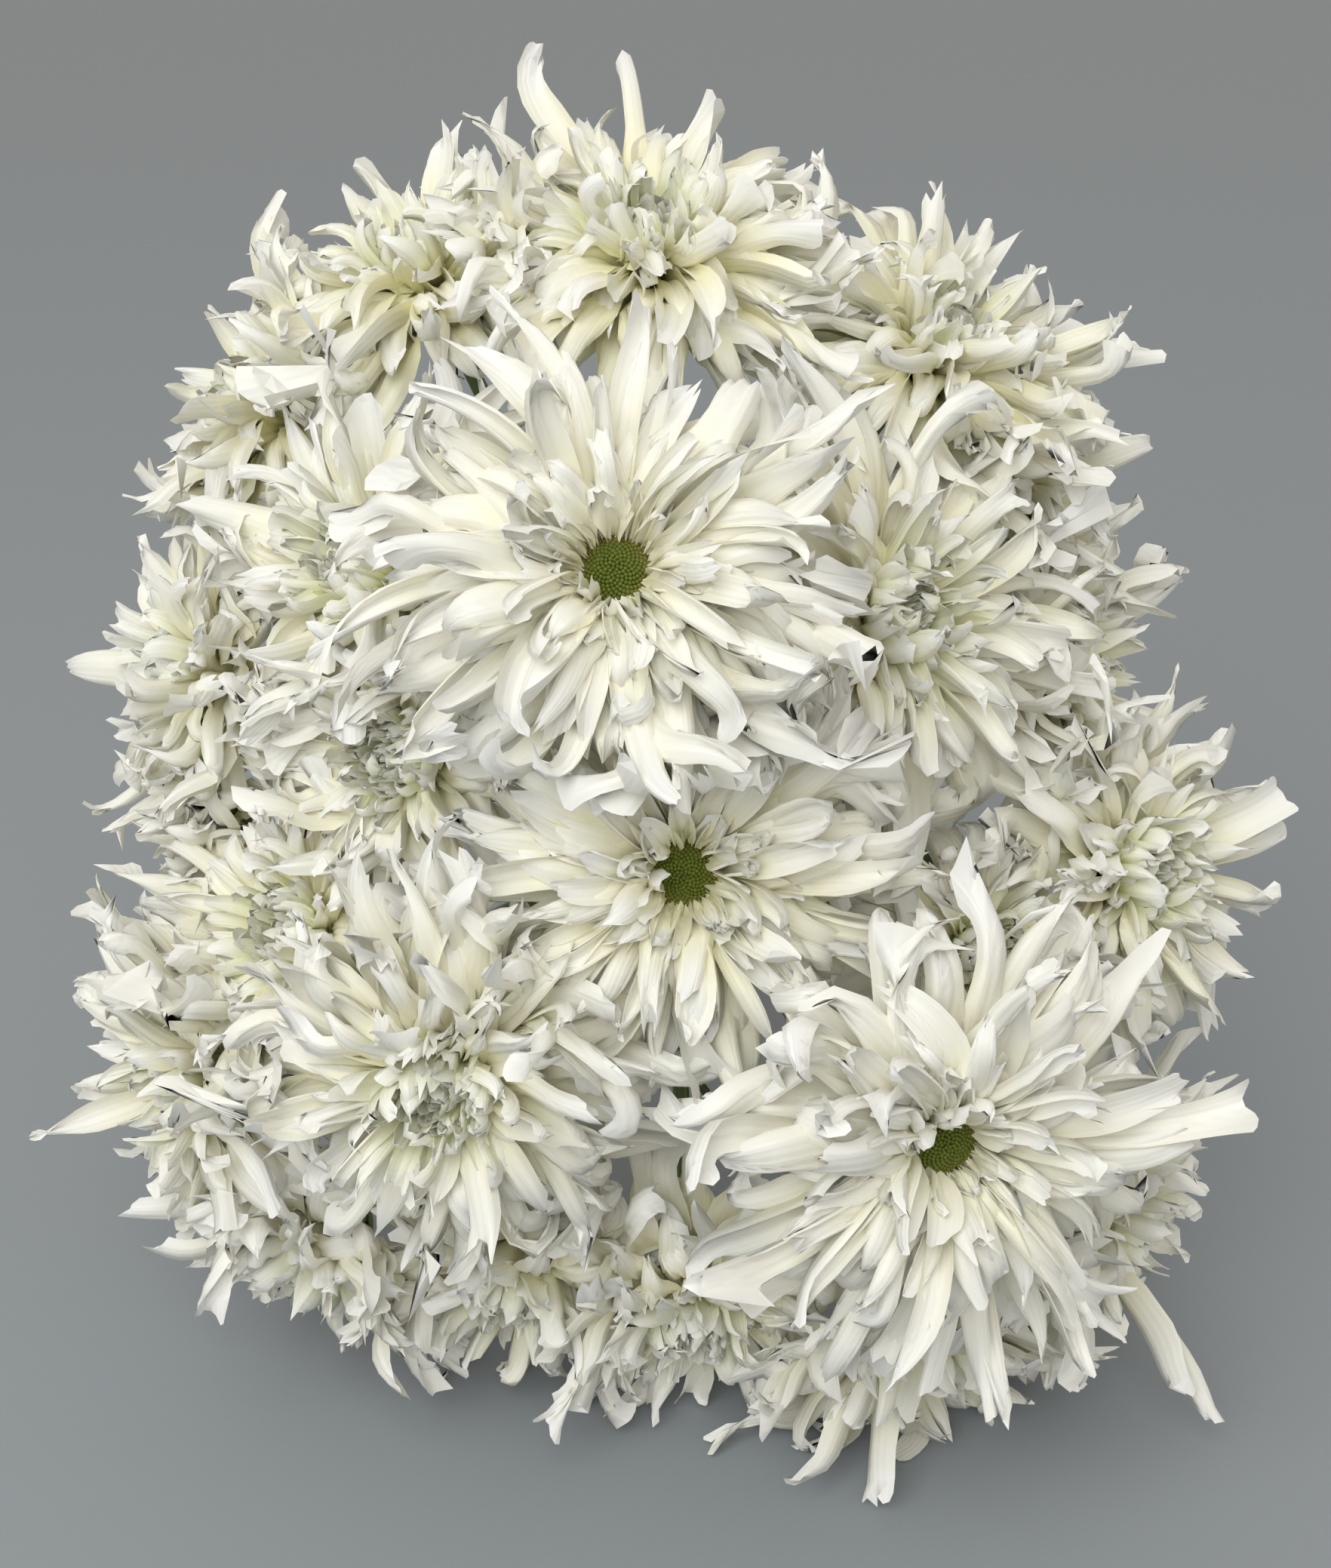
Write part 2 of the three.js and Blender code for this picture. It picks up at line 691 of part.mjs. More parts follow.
// A slice across a leaf: its two wings rise from the rib, and the underside follows the top.
function leafSection({ point, side, upper }, half) {
  const rise = point.clone().addScaledVector(upper, half * LEAF_FOLD);
  const top = [rise.clone().addScaledVector(side, half), point, rise.clone().addScaledVector(side, -half)];
  const under = top.map((place) => place.clone().addScaledVector(upper, -LEAF_THICKNESS));
  return [...top, ...under.reverse()];
}

const petalWhite = new THREE.MeshStandardMaterial({ color: 0xf2f1e4, roughness: 0.55, metalness: 0 });
const discGreen = new THREE.MeshStandardMaterial({ color: 0x7c9a1f, roughness: 0.7, metalness: 0 });
const stemGreen = new THREE.MeshStandardMaterial({ color: 0x5d7a3c, roughness: 0.6, metalness: 0 });
const leafGreen = new THREE.MeshStandardMaterial({ color: 0x3d5c33, roughness: 0.6, metalness: 0 });

const frames = BLOOMS.map(frameOf);
const trunk = trunkCurve(frames);
const stemRoom = stem(frames, trunk, STEM_GAP);

const spray = new THREE.Group();
spray.name = "spray_chrysanthemum";
const wholeStem = mainBody(stem(frames, trunk, 0).subtract(beyond(FLOOR, DOWN)));
spray.add(pieceOf("stem", wholeStem, stemGreen, trunk.getPointAt(0)));

const heads = new THREE.Group();
frames.forEach((frame, i) => {
  const number = String(i + 1).padStart(2, "0");
  heads.add(pieceOf(`bloom_${number}_petals`, bloom(frame, frames, stemRoom), petalWhite, frame.root));
  if (frame.disc) {
    heads.add(pieceOf(`bloom_${number}_disc`, disc(frame), discGreen, frame.root));
  }
});
spray.add(heads);

LEAVES.forEach((entry, i) => {
  const foot = trunk.getPointAt(entry.along);
  spray.add(pieceOf(`leaf_${i + 1}`, leaf(entry, trunk, stemRoom), leafGreen, foot));
});

export default spray;
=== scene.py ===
import bpy
import numpy as np
from mathutils import Matrix, Vector


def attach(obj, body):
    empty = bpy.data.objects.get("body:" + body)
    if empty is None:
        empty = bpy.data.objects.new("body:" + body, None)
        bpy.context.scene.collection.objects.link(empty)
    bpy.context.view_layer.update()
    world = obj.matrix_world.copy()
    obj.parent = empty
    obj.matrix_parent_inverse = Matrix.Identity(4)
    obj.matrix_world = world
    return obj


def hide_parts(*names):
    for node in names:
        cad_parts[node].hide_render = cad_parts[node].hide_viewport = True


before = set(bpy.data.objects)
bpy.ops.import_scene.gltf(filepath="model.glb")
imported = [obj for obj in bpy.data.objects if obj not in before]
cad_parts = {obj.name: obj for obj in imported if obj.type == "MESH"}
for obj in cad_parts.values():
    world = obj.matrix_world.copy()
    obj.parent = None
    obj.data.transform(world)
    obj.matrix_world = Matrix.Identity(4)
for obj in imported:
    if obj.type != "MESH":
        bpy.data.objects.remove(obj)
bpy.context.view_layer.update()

MM = 0.001

# The head: where its middle is, how far its face is tipped up, and its own right, up and out.
HEAD_MIDDLE = np.array([2.3, -97.0, 90.0])
HEAD_TIP_UP = np.radians(25)
HEAD_AXES = np.array([
    [1, 0, 0],
    [0, np.sin(HEAD_TIP_UP), np.cos(HEAD_TIP_UP)],
    [0, -np.cos(HEAD_TIP_UP), np.sin(HEAD_TIP_UP)],
])
UP = np.array([0.0, 0.0, 1.0])

# The camera looks straight at the head's face, from this far over its middle.
CAMERA_DISTANCE = 490
CAMERA_LENS = 53.6
CAMERA_SENSOR = 36

# The soft key light, placed in the head's right, up and out, and the light from all round.
KEY_PLACE = (-300, 350, 1000)
KEY_DIAMETER_M = 1.0
KEY_WATTS = 6.6
KEY_COLOUR = (0.96, 0.985, 1.0)
SKY_COLOUR = (1.0, 0.97, 0.91, 1)
SKY_STRENGTH = 0.61
GAMMA = 1.15
FLOOR_HALF_M = 12.0
FLOOR_COLOUR = (0.25, 0.275, 0.295)

# Every bloom. eye is its middle, and faces is the way that it faces, both in the head's right, up and
# out. reach is the radius over its longest petals, disc the radius of its green eye where that shows,
# petals the number of its ray florets, and cream how yellow they are, from 0 to 1. strays are the tips
# of single long ray florets that stand out from the rest.
BLOOMS = [
    {"eye": (-8, 34, 120), "faces": (0.02, 0.14, 1), "reach": 45, "disc": 5.6, "petals": 202, "cream": 0.1},
    {"eye": (3, -15, 104), "faces": (0, -0.12, 1), "reach": 43, "disc": 5.4, "petals": 196, "cream": 0.4},
    {"eye": (46, -59, 108), "faces": (0.28, -0.22, 1), "reach": 46, "disc": 5.8, "petals": 209, "cream": 0},
    {"eye": (-37, -50, 96), "faces": (-0.2, -0.45, 1), "reach": 41, "petals": 189, "cream": 0.4},
    {"eye": (-86, -55, 56), "faces": (-1, -0.3, 0.6), "reach": 39, "petals": 126, "cream": 0.3,
     "strays": [(-117, -41, 50), (-116, -58, 50), (-119, -67, 50)]},
    {"eye": (-66, -27, 70), "faces": (-0.6, 0.25, 0.9), "reach": 37, "petals": 138, "cream": 0.6},
    {"eye": (-88, 21, 46), "faces": (-1, 0.1, 0.5), "reach": 37, "petals": 126, "cream": 0.4,
     "strays": [(-120, 24, 35), (-112, 34, 35), (-104, 46, 40)]},
    {"eye": (-52, 38, 80), "faces": (-0.55, 0.25, 0.8), "reach": 38, "petals": 138, "cream": 0.4},
    {"eye": (-46, 5, 82), "faces": (-0.5, -0.1, 1), "reach": 34, "petals": 132, "cream": 0.5},
    {"eye": (-76, 74, 40), "faces": (-0.8, 0.6, 0.5), "reach": 36, "petals": 126, "cream": 0.8,
     "strays": [(-86, 120, 20), (-100, 68, 30)]},
    {"eye": (-45, 95, 51), "faces": (-0.4, 0.8, 0.6), "reach": 41, "petals": 169, "cream": 1.0,
     "strays": [(-46, 131, 30), (-65, 120, 30)]},
    {"eye": (-3, 97, 64), "faces": (0, 0.72, 0.75), "reach": 43, "petals": 189, "cream": 0.8,
     "strays": [(-7, 143, 40), (-31, 137, 40), (27, 119, 50), (17, 66, 76), (-30, 68, 74), (32, 66, 66)]},
    {"eye": (51, 82, 50), "faces": (0.5, 0.6, 0.65), "reach": 43, "petals": 169, "cream": 0.7,
     "strays": [(94, 88, 40)]},
    {"eye": (68, 58, 36), "faces": (0.95, 0.3, 0.4), "reach": 39, "petals": 126, "cream": 0.7,
     "strays": [(98, 68, 40)]},
    {"eye": (39, 29, 82), "faces": (0.55, 0.16, 0.8), "reach": 45, "petals": 169, "cream": 0.4},
    {"eye": (76, 20, 38), "faces": (1, 0, 0.4), "reach": 38, "petals": 120, "cream": 0.5,
     "strays": [(95, 50, 42), (101, 37, 40), (96, 16, 45)]},
    {"eye": (86, -16, 60), "faces": (0.6, 0.02, 0.8), "reach": 36, "petals": 138, "cream": 0.5,
     "strays": [(114, -3, 60), (106, -27, 60)]},
    {"eye": (57, -31, 71), "faces": (0.3, 0.1, 1), "reach": 30, "petals": 114, "cream": 0.6},
    {"eye": (5, -96, 57), "faces": (0.05, -0.8, 0.6), "reach": 35, "petals": 126, "cream": 0.6,
     "strays": [(6, -62, 72), (-9, -60, 72), (18, -66, 72)]},
    {"eye": (-27, -91, 55), "faces": (-0.2, -0.85, 0.6), "reach": 36, "petals": 126, "cream": 0.4},
    {"eye": (46, -104, 54), "faces": (0.2, -0.85, 0.5), "reach": 38, "petals": 126, "cream": 0.3,
     "strays": [(25, -131, 70), (36, -129, 70)]},
    {"eye": (84, -82, 46), "faces": (0.85, -0.45, 0.35), "reach": 35, "petals": 126, "cream": 0.3,
     "strays": [(101, -118, 60), (94, -112, 62)]},
    {"eye": (-89, -8, 34), "faces": (-1, -0.1, 0.3), "reach": 31, "petals": 114, "cream": 0.5},
    {"eye": (-66, -88, 46), "faces": (-0.5, -0.8, 0.4), "reach": 36, "petals": 126, "cream": 0.3,
     "strays": [(-98, -92, 50), (-102, -82, 50)]},
]
EYE_ABOVE_ROOT = 9
HEART_SHARE = 0.4
USUAL_REACH = 42

# How ray florets change from the outermost (0) to the innermost (1) of a bloom. Angles are in degrees.
# Rise is the slope that a floret leaves with, bend is how much the slope changes over its length, and
# hook how much more it changes near the tip. Share is the length as a share of the bloom's reach.
INWARD = [0, 0.25, 0.5, 0.75, 1]
RISE_OPEN = [6, 26, 46, 64, 80]
RISE_CLOSED = [6, 25, 44, 60, 74]
BEND_OPEN = [-36, -46, -58, -58, -16]
BEND_CLOSED = [-34, -44, -50, -26, 24]
HOOK_OPEN = [-20, -20, -20, -10, 0]
HOOK_CLOSED = [-20, -20, -15, 0, 20]
SHARE_OPEN = [1.0, 0.93, 0.79, 0.58, 0.32]
SHARE_CLOSED = [1.0, 0.93, 0.79, 0.6, 0.42]
WIDTH = [8.6, 8.4, 7.8, 7.0, 6.2]
ROOT_RADIUS = [7.0, 6.6, 5.8, 5.0, 4.4]
ROOT_HEIGHT = [3.0, 3.6, 4.6, 5.4, 6.2]
OPEN_ROOT_HEIGHT = 5.6
GOLDEN_ANGLE = np.pi * (3 - np.sqrt(5))
LINE_STEPS = 24
SAG = 0.32
PETAL_THICKNESS = 0.9

# The rows of points along a ray floret, which is long over LONG_PETAL, and along a small floret of an
# eye. They lie closer together towards the tip.
LONG_PETAL = 22
ROWS_LONG = 10
ROWS_SHORT = 8
ROWS_SMALL = 6
ROWS_TOWARDS_TIP = 0.66
EYE_FLORETS = 46

# Blooms press against each other along flat boundaries, where petals turn aside: within TURN_WITHIN of
# one, and back from it once past it. They turn up along their own bloom's axis, and their faces turn
# flat along the boundary. Each petal's own clearance shifts the boundary for it, so that many outer ones
# reach past it, and inner ones stay further back in layers. No petal goes under the surface.
TURN_WITHIN = 9
TURN_BACK = 0.25
TURN_TOWARDS = 0.5
LAY_FLAT = 0.85
PETAL_LAYER = 2.2
FLOOR_CLEARANCE = 0.6
LEAST_HEIGHT = 0.1

# The kinds of tip: three teeth, two horns, rounded, slanting, a long middle tooth, and a claw. A row says
# how far short of the tip each place across ends, as a share of a depth drawn from TIP_DEPTHS.
TIPS = np.array([
    [1.0, 0.45, 0.3, 0.75, 0, 0.75, 0.3, 0.5, 1.05],
    [0.15, 0, 0.35, 0.75, 1.0, 0.8, 0.4, 0.05, 0.2],
    [1.0, 0.45, 0.15, 0.04, 0, 0.04, 0.15, 0.45, 1.0],
    [0.1, 0, 0.12, 0.3, 0.5, 0.75, 1.0, 1.3, 1.7],
    [1.0, 0.75, 0.65, 0.45, 0, 0.5, 0.7, 0.8, 1.1],
    [1.15, 0.8, 0.45, 0.15, 0, 0.15, 0.45, 0.8, 1.15],
])
TIP_DEPTHS = np.array([[1.5, 4.5], [1.5, 4.5], [1.2, 2.6], [1.5, 4.0], [2.5, 5.5], [5.0, 10.0]])
TIP_ODDS = [0.2, 0.22, 0.16, 0.13, 0.12, 0.17]
HORNS, CLAW = 1, 5
SMALL_TIPS = np.array([[0.9, 0.3, 0, 0.3, 0.9], [0.6, 0, 0.7, 0.1, 0.7], [0.2, 0, 0.3, 0.8, 1.2]])
SMALL_TIP_ODDS = [0.5, 0.3, 0.2]

# The stem, from its cut end up to the middle bloom, and its side branches. CALYX_FOOT is how far below a
# bloom's root its branch ends, and CALYX_PROFILE has the cup's heights from the root and radii.
STEM_ROUTE = [(10, 247, 3.2), (9, 185, 3.7), (7, 115, 10), (3, 51, 29), (1, 5, 49)]
STEM_ROUTE_IN_HEAD = [(0, -2, -60), (1, -5, 20)]
STEM_RADIUS_AT_CUT = 3.6
STEM_RADIUS_AT_TOP = 1.8
STEM_SIDES = 35
STEM_RIDGES = 7
RIDGE_DEPTH = 0.05
STEM_BASE = (0.12, 0.19, 0.05)
STEM_YOUNG = (0.17, 0.25, 0.075)
STEM_GROOVE = (0.06, 0.1, 0.03)
MIDDLE_BLOOM = 1
FIRST_BRANCH = 0.5
LAST_BRANCH = 0.84
BRANCH_RADIUS = 1.6
BRANCH_SIDES = 14
BRANCH_RINGS = 24
LEAVE_STRAIGHT = 0.3
ARRIVE_STRAIGHT = 0.35
CALYX_FOOT = -4.5
CALYX_PROFILE = [(-4.7, 1.5), (-3.8, 2.4), (-2.6, 3.8), (-1.4, 4.9), (-0.2, 5.7), (0.5, 5.9)]
BRANCH_LEAVES = [0.45, 0.72]

# The rows of bracts on a calyx: height, radius, length, and how far each leans up from straight out.
BRACT_ROWS = [(-3.9, 2.2, 4.5, 48), (-2.4, 3.9, 5.0, 44), (-1.0, 5.1, 5.0, 36)]
BRACTS_IN_ROW = 10
BRACT_WIDTH = 2.6
CALYX_SIDES = 20

# Leaves: how far along the stem each grows, which way round the stem from straight up, in degrees,
# how long it is, and how hard it droops. The outline is half a leaf's, as shares of its length:
# along the rib, and out from it.
LEAVES = [
    {"along": 0.2, "round": 85, "length": 62, "droop": 1.1},
    {"along": 0.28, "round": -85, "length": 70, "droop": 1.1},
    {"along": 0.36, "round": 75, "length": 74, "droop": 1.1},
    {"along": 0.43, "round": -70, "length": 72, "droop": 0.8},
    {"along": 0.5, "round": 30, "length": 70, "droop": 0.4},
    {"along": 0.54, "round": -108, "length": 66, "droop": 0.3},
]
LEAF_OUTLINE = [
    (0, 0.016), (0.2, 0.02), (0.24, 0.07), (0.3, 0.17), (0.38, 0.26), (0.42, 0.24), (0.46, 0.13),
    (0.49, 0.14), (0.56, 0.27), (0.61, 0.3), (0.66, 0.22), (0.71, 0.14), (0.75, 0.16),
    (0.83, 0.18), (0.88, 0.14), (0.94, 0.07), (1, 0.003),
]
LEAF_VEINS = [0.25, 0.45, 0.68]
LEAF_STEPS = 40
LEAF_ROWS = 74
LEAF_PLACES = 17
LEAF_SWEEP = 0.35
LEAF_FOLD = 0.28
LEAF_OUTWARD = 0.72
LEAF_FORWARD = 0.7
LEAF_START = 1.5
LEAF_CLEARANCE = 0.8
LEAF_JOINT = 0.5
LEAF_LEAST_TOP = 0.6
LEAF_THICKNESS = 0.45
VEIN_THICKNESS = 0.5

# The green eyes, each packed with tiny florets on a low dome. DISC_DOME has the heights of the dome's
# rings over the disc's seat and their radii as shares of its own, up to the small ring at its top.
DISC_SEAT = 6.3
DISC_DOME = [(-0.7, 1), (0.6, 1), (1.5, 0.8), (2.1, 0.5)]
DISC_TOP = (2.3, 0.3)
DISC_SIDES = 24
DISC_FLORETS = 250
DISC_FLORET_SIDES = 7
DISC_FLORET_PROFILE = [(1, -0.4), (1, 0.3), (0.8, 0.75), (0.35, 1)]


def head_direction(direction):
    return np.asarray(direction, float) @ HEAD_AXES


def head_point(place):
    return head_direction(place) + HEAD_MIDDLE


def unit(vectors):
    return vectors / np.linalg.norm(vectors, axis=-1, keepdims=True)


def dot(a, b):
    return np.sum(a * b, axis=-1, keepdims=True)


def smooth(value, low, high):
    """0 below low and 1 above high, with an even change between."""
    share = np.clip((value - low) / (high - low), 0, 1)
    return share * share * (3 - 2 * share)


def bloom_frame(index, bloom):
    """Where a bloom stands: its axis, two directions across it, its root and its heart."""
    axis = unit(head_direction(bloom["faces"]))
    side = unit(np.cross(HEAD_AXES[1], axis))
    root = head_point(bloom["eye"]) - axis * EYE_ABOVE_ROOT
    return {
        **bloom,
        "index": index,
        "axis": axis,
        "side": side,
        "across": np.cross(axis, side),
        "root": root,
        "heart": root + axis * bloom["reach"] * HEART_SHARE,
    }


def boundaries_of(bloom, blooms):
    """The surface and a bloom's boundaries with its neighbours, each a point and the way out."""
    boundaries = [(np.zeros(3), -UP)]
    for other in blooms:
        apart = other["heart"] - bloom["heart"]
        distance = np.linalg.norm(apart)
        if other is bloom or distance > bloom["reach"] + other["reach"]:
            continue
        share = 0.5 + (bloom["reach"] ** 2 - other["reach"] ** 2) / (2 * distance**2)
        boundaries.append((bloom["heart"] + apart * share, apart / distance))
    return boundaries


def turn_aside(point, along, side, boundaries, clearances, towards):
    """Turns growing petals aside before they cross a boundary, more readily towards one way, and lays
    them flat along it."""
    for (on, normal), clearance in zip(boundaries, clearances):
        room = (on - point) @ normal - clearance
        near = np.clip(1 - room / TURN_WITHIN, 0, 1)
        outward = np.maximum(along @ normal, 0)
        push = outward * near + np.where(room < 0, TURN_BACK, 0)
        along = unit(along - push[:, None] * (normal - TURN_TOWARDS * towards))
        side = side - (side @ normal * near * near)[:, None] * LAY_FLAT * normal
    return along, unit(side - along * dot(side, along))


def petal_lines(bloom, boundaries, petals):
    """The middle lines of a bloom's petals: points, the way across and the way up at each step."""
    angle = petals["angle"][:, None]
    radial = np.cos(angle) * bloom["side"] + np.sin(angle) * bloom["across"]
    tangent = np.cross(bloom["axis"], radial)
    point = bloom["root"] + radial * petals["root"][:, None] + bloom["axis"] * petals["height"][:, None]
    side = tangent
    clearances = [FLOOR_CLEARANCE + petals["layer"]]
    clearances += [petals["clearance"] + petals["layer"]] * (len(boundaries) - 1)
    points, sides, uppers = [], [], []
    for step in range(LINE_STEPS + 1):
        t = step / LINE_STEPS
        slope = petals["rise"] + petals["bend"] * smooth(t, 0.1, 0.85)
        slope = (slope + petals["hook"] * smooth(t, 0.55, 1.1))[:, None]
        sway = (petals["sway"] * t + petals["sweep"] * t * t)[:, None]
        along = radial * np.cos(slope) * np.cos(sway) + tangent * np.cos(slope) * np.sin(sway)
        along = along + bloom["axis"] * np.sin(slope) - UP * SAG * t * t * petals["share"][:, None]
        along, side = turn_aside(point, unit(along), side, boundaries, clearances, bloom["axis"])
        upper = np.cross(along, side)
        twist = (petals["twist"] * t)[:, None]
        points.append(point)
        sides.append(side * np.cos(twist) + upper * np.sin(twist))
        uppers.append(upper * np.cos(twist) - side * np.sin(twist))
        point = point + along * (petals["length"] / LINE_STEPS)[:, None]
    return tuple(np.stack(parts, axis=1) for parts in (points, sides, uppers))


def along_lines(lines, t):
    """Points, sides and uppers of each petal at shares t of its length, shaped petal, row, place."""
    steps = t * LINE_STEPS
    low = np.clip(np.floor(steps).astype(int), 0, LINE_STEPS - 1)
    share = (steps - low)[..., None]
    petal = np.arange(len(t))[:, None, None]
    return [part[petal, low] * (1 - share) + part[petal, low + 1] * share for part in lines]


def petal_surface(lines, petals, section, rows):
    """The upper and under faces of petals, each an array of petal, row, place and coordinate."""
    column = {name: value[:, None, None] for name, value in petals.items() if value.ndim == 1}
    reach = np.linspace(0, 1, rows) ** ROWS_TOWARDS_TIP
    t = reach[None, :, None] * petals["ends"][:, None, :]
    points, sides, uppers = along_lines(lines, t)
    across = section.across[None, None, :]
    swell = column["neck"] + (1 - column["neck"]) * smooth(t, 0, column["widest"])
    half = column["width"] / 2 * swell * (1 - column["taper"] * smooth(t, 0.6, 1))
    roll = column["base_roll"] + (column["tip_roll"] - column["base_roll"]) * smooth(t, 0.1, 0.6)
    roll = np.where(np.abs(roll) < 0.05, 0.05, roll)
    bow = roll * across
    out = half * np.sin(bow) / roll
    rise = half * (1 - np.cos(bow)) / roll
    rise = rise + column["rib"] * half * section.ribs * (0.3 + 0.7 * smooth(t, 0.2, 0.7))
    wave = np.sin(column["ruffles"] * t * 2 * np.pi + column["phase"] + across * 1.3)
    rise = rise + column["ruffle"] * across * across * wave * smooth(t, 0.35, 0.9)
    beyond = np.maximum(t - column["fork_from"], 0) * column["length"]
    out = out + beyond**2 / column["length"] * petals["spread"][:, None, :]
    bending = petals["curl"][:, None, :] / ((1 - column["fork_from"]) * column["length"])
    bending = np.where(np.abs(bending) < 0.001, 0.001, bending)
    curled = bending * beyond
    alongs = np.cross(sides, uppers)
    outwards = uppers * np.cos(curled)[..., None] - alongs * np.sin(curled)[..., None]
    upper_face = points + sides * out[..., None] + outwards * rise[..., None]
    upper_face = upper_face + uppers * ((1 - np.cos(curled)) / bending)[..., None]
    upper_face = upper_face + alongs * (np.sin(curled) / bending - beyond)[..., None]
    normal = outwards * np.cos(bow)[..., None] - sides * np.sin(bow)[..., None]
    thin = (1 - 0.5 * smooth(t, 0.5, 1)) * np.sqrt(1.02 - across**2)
    thick = np.minimum(PETAL_THICKNESS, 0.3 * half) * thin
    under_face = upper_face - normal * thick[..., None]
    upper_face[..., 2] = np.maximum(upper_face[..., 2], LEAST_HEIGHT + PETAL_THICKNESS)
    under_face[..., 2] = np.maximum(under_face[..., 2], LEAST_HEIGHT)
    return upper_face, under_face[:, :, section.underside], t


class Section:
    """The section of a petal: places from its left edge to its right, the height of the ribs there, and
    the places that its underside has too. The two sides meet in the edges and in the tip."""

    def __init__(self, across, ribs, underside):
        self.across = np.array(across)
        self.ribs = np.array(ribs)
        self.underside = underside
        self.last = len(across) - 1
        self.right = 1 + len(underside)
        self.count = len(across) + len(underside)

    def above(self, place):
        """Where a place of the upper side stands in a row's loop: left edge, underside, back on top."""
        return 0 if place == 0 else self.right + self.last - place

    def points(self, upper, under):
        """Each petal's points, row by row round the section, and then the places of its tip."""
        loops = np.concatenate([upper[:, :-1, :1], under[:, :-1], upper[:, :-1, :0:-1]], axis=2)
        return np.concatenate([loops.reshape(len(upper), -1, upper.shape[-1]), upper[:, -1]], axis=1)

    def rim(self, rows):
        """1 at the points along a petal's edges and tip, and 0 elsewhere."""
        loop = np.zeros(self.count)
        loop[[0, self.right]] = 1
        return np.concatenate([np.tile(loop, rows - 1), np.ones(len(self.across))])

    def faces(self, rows):
        count = self.count
        faces = [tuple(range(count))[::-1]]
        for row in range(rows - 2):
            for i in range(count):
                j = (i + 1) % count
                above = (row + 1) * count
                faces.append((row * count + i, row * count + j, above + j, above + i))
        row = (rows - 2) * count
        tip = (rows - 1) * count
        for place in range(self.last):
            left, right = self.above(place), self.above(place + 1)
            faces.append((row + right, row + left, tip + place, tip + place + 1))
        stops = [0, *self.underside, self.last]
        for i, (left, right) in enumerate(zip(stops, stops[1:])):
            faces.append((row + i, row + i + 1, tip + right))
            faces += [(row + i, tip + place + 1, tip + place) for place in range(left, right)]
        return faces


# Ray florets have three ribs, the outer two with flat tops, and the small ones over an eye have one.
RAY = Section(
    [-1, -0.78, -0.5, -0.28, 0, 0.28, 0.5, 0.78, 1],
    [0, 0.8, 0.9, 0, 1, 0, 0.9, 0.8, 0],
    [3, 5],
)
SMALL = Section([-1, -0.6, 0, 0.6, 1], [0, 0.5, 1, 0.5, 0], [1, 3])


class Mesh:
    """Points, faces and values for each point, collected from many parts and written as one piece."""

    def __init__(self):
        self.points, self.faces, self.values, self.count = [], [], {}, 0

    def add(self, points, faces, **values):
        points = np.asarray(points, float).reshape(-1, 3)
        self.faces += [tuple(i + self.count for i in face) for face in faces]
        self.points.append(points)
        self.count += len(points)
        for name, value in values.items():
            self.values.setdefault(name, []).append(np.broadcast_to(value, len(points)))

    def piece(self, name, material, slot, *nodes):
        data = bpy.data.meshes.new(name)
        data.from_pydata((np.concatenate(self.points) * MM).tolist(), [], self.faces)
        if "rim" in self.values:
            self.sharpen(data)
        for label, parts in self.values.items():
            layer = data.attributes.new(label, "FLOAT", "POINT")
            layer.data.foreach_set("value", np.concatenate(parts).astype(np.float32))
        data.shade_smooth()
        data.materials.append(material)
        made = bpy.data.objects.new(name, data)
        bpy.context.scene.collection.objects.link(made)
        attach(made, "root")
        if nodes:
            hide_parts(*nodes)
        return made

    def sharpen(self, data):
        """Marks the edges that run along a rim as sharp, so that a thin edge isn't shaded as round."""
        rim = np.concatenate(self.values.pop("rim")) > 0
        ends = np.empty(len(data.edges) * 2, int)
        data.edges.foreach_get("vertices", ends)
        data.edges.foreach_set("use_edge_sharp", rim[ends].reshape(-1, 2).all(axis=1))


class Draws:
    """Random values that are the same each run, one for each petal."""

    def __init__(self, seed, count):
        self.random = np.random.default_rng(seed)
        self.count = count

    def between(self, low, high):
        return self.random.uniform(low, high, self.count)

    def choice(self, odds):
        return self.random.choice(len(odds), self.count, p=odds)

    def per_place(self, low, high, places):
        return self.random.uniform(low, high, (self.count, places))


def lobes(draws, section, low, high):
    """A value for each place across a petal, which changes evenly between its left, middle and right."""
    left, middle, right = draws.between(low, high), draws.between(low, high), draws.between(low, high)
    knots = np.stack([left, middle, right], axis=1)
    return np.stack([np.interp(section.across, [-0.6, 0, 0.6], row) for row in knots])


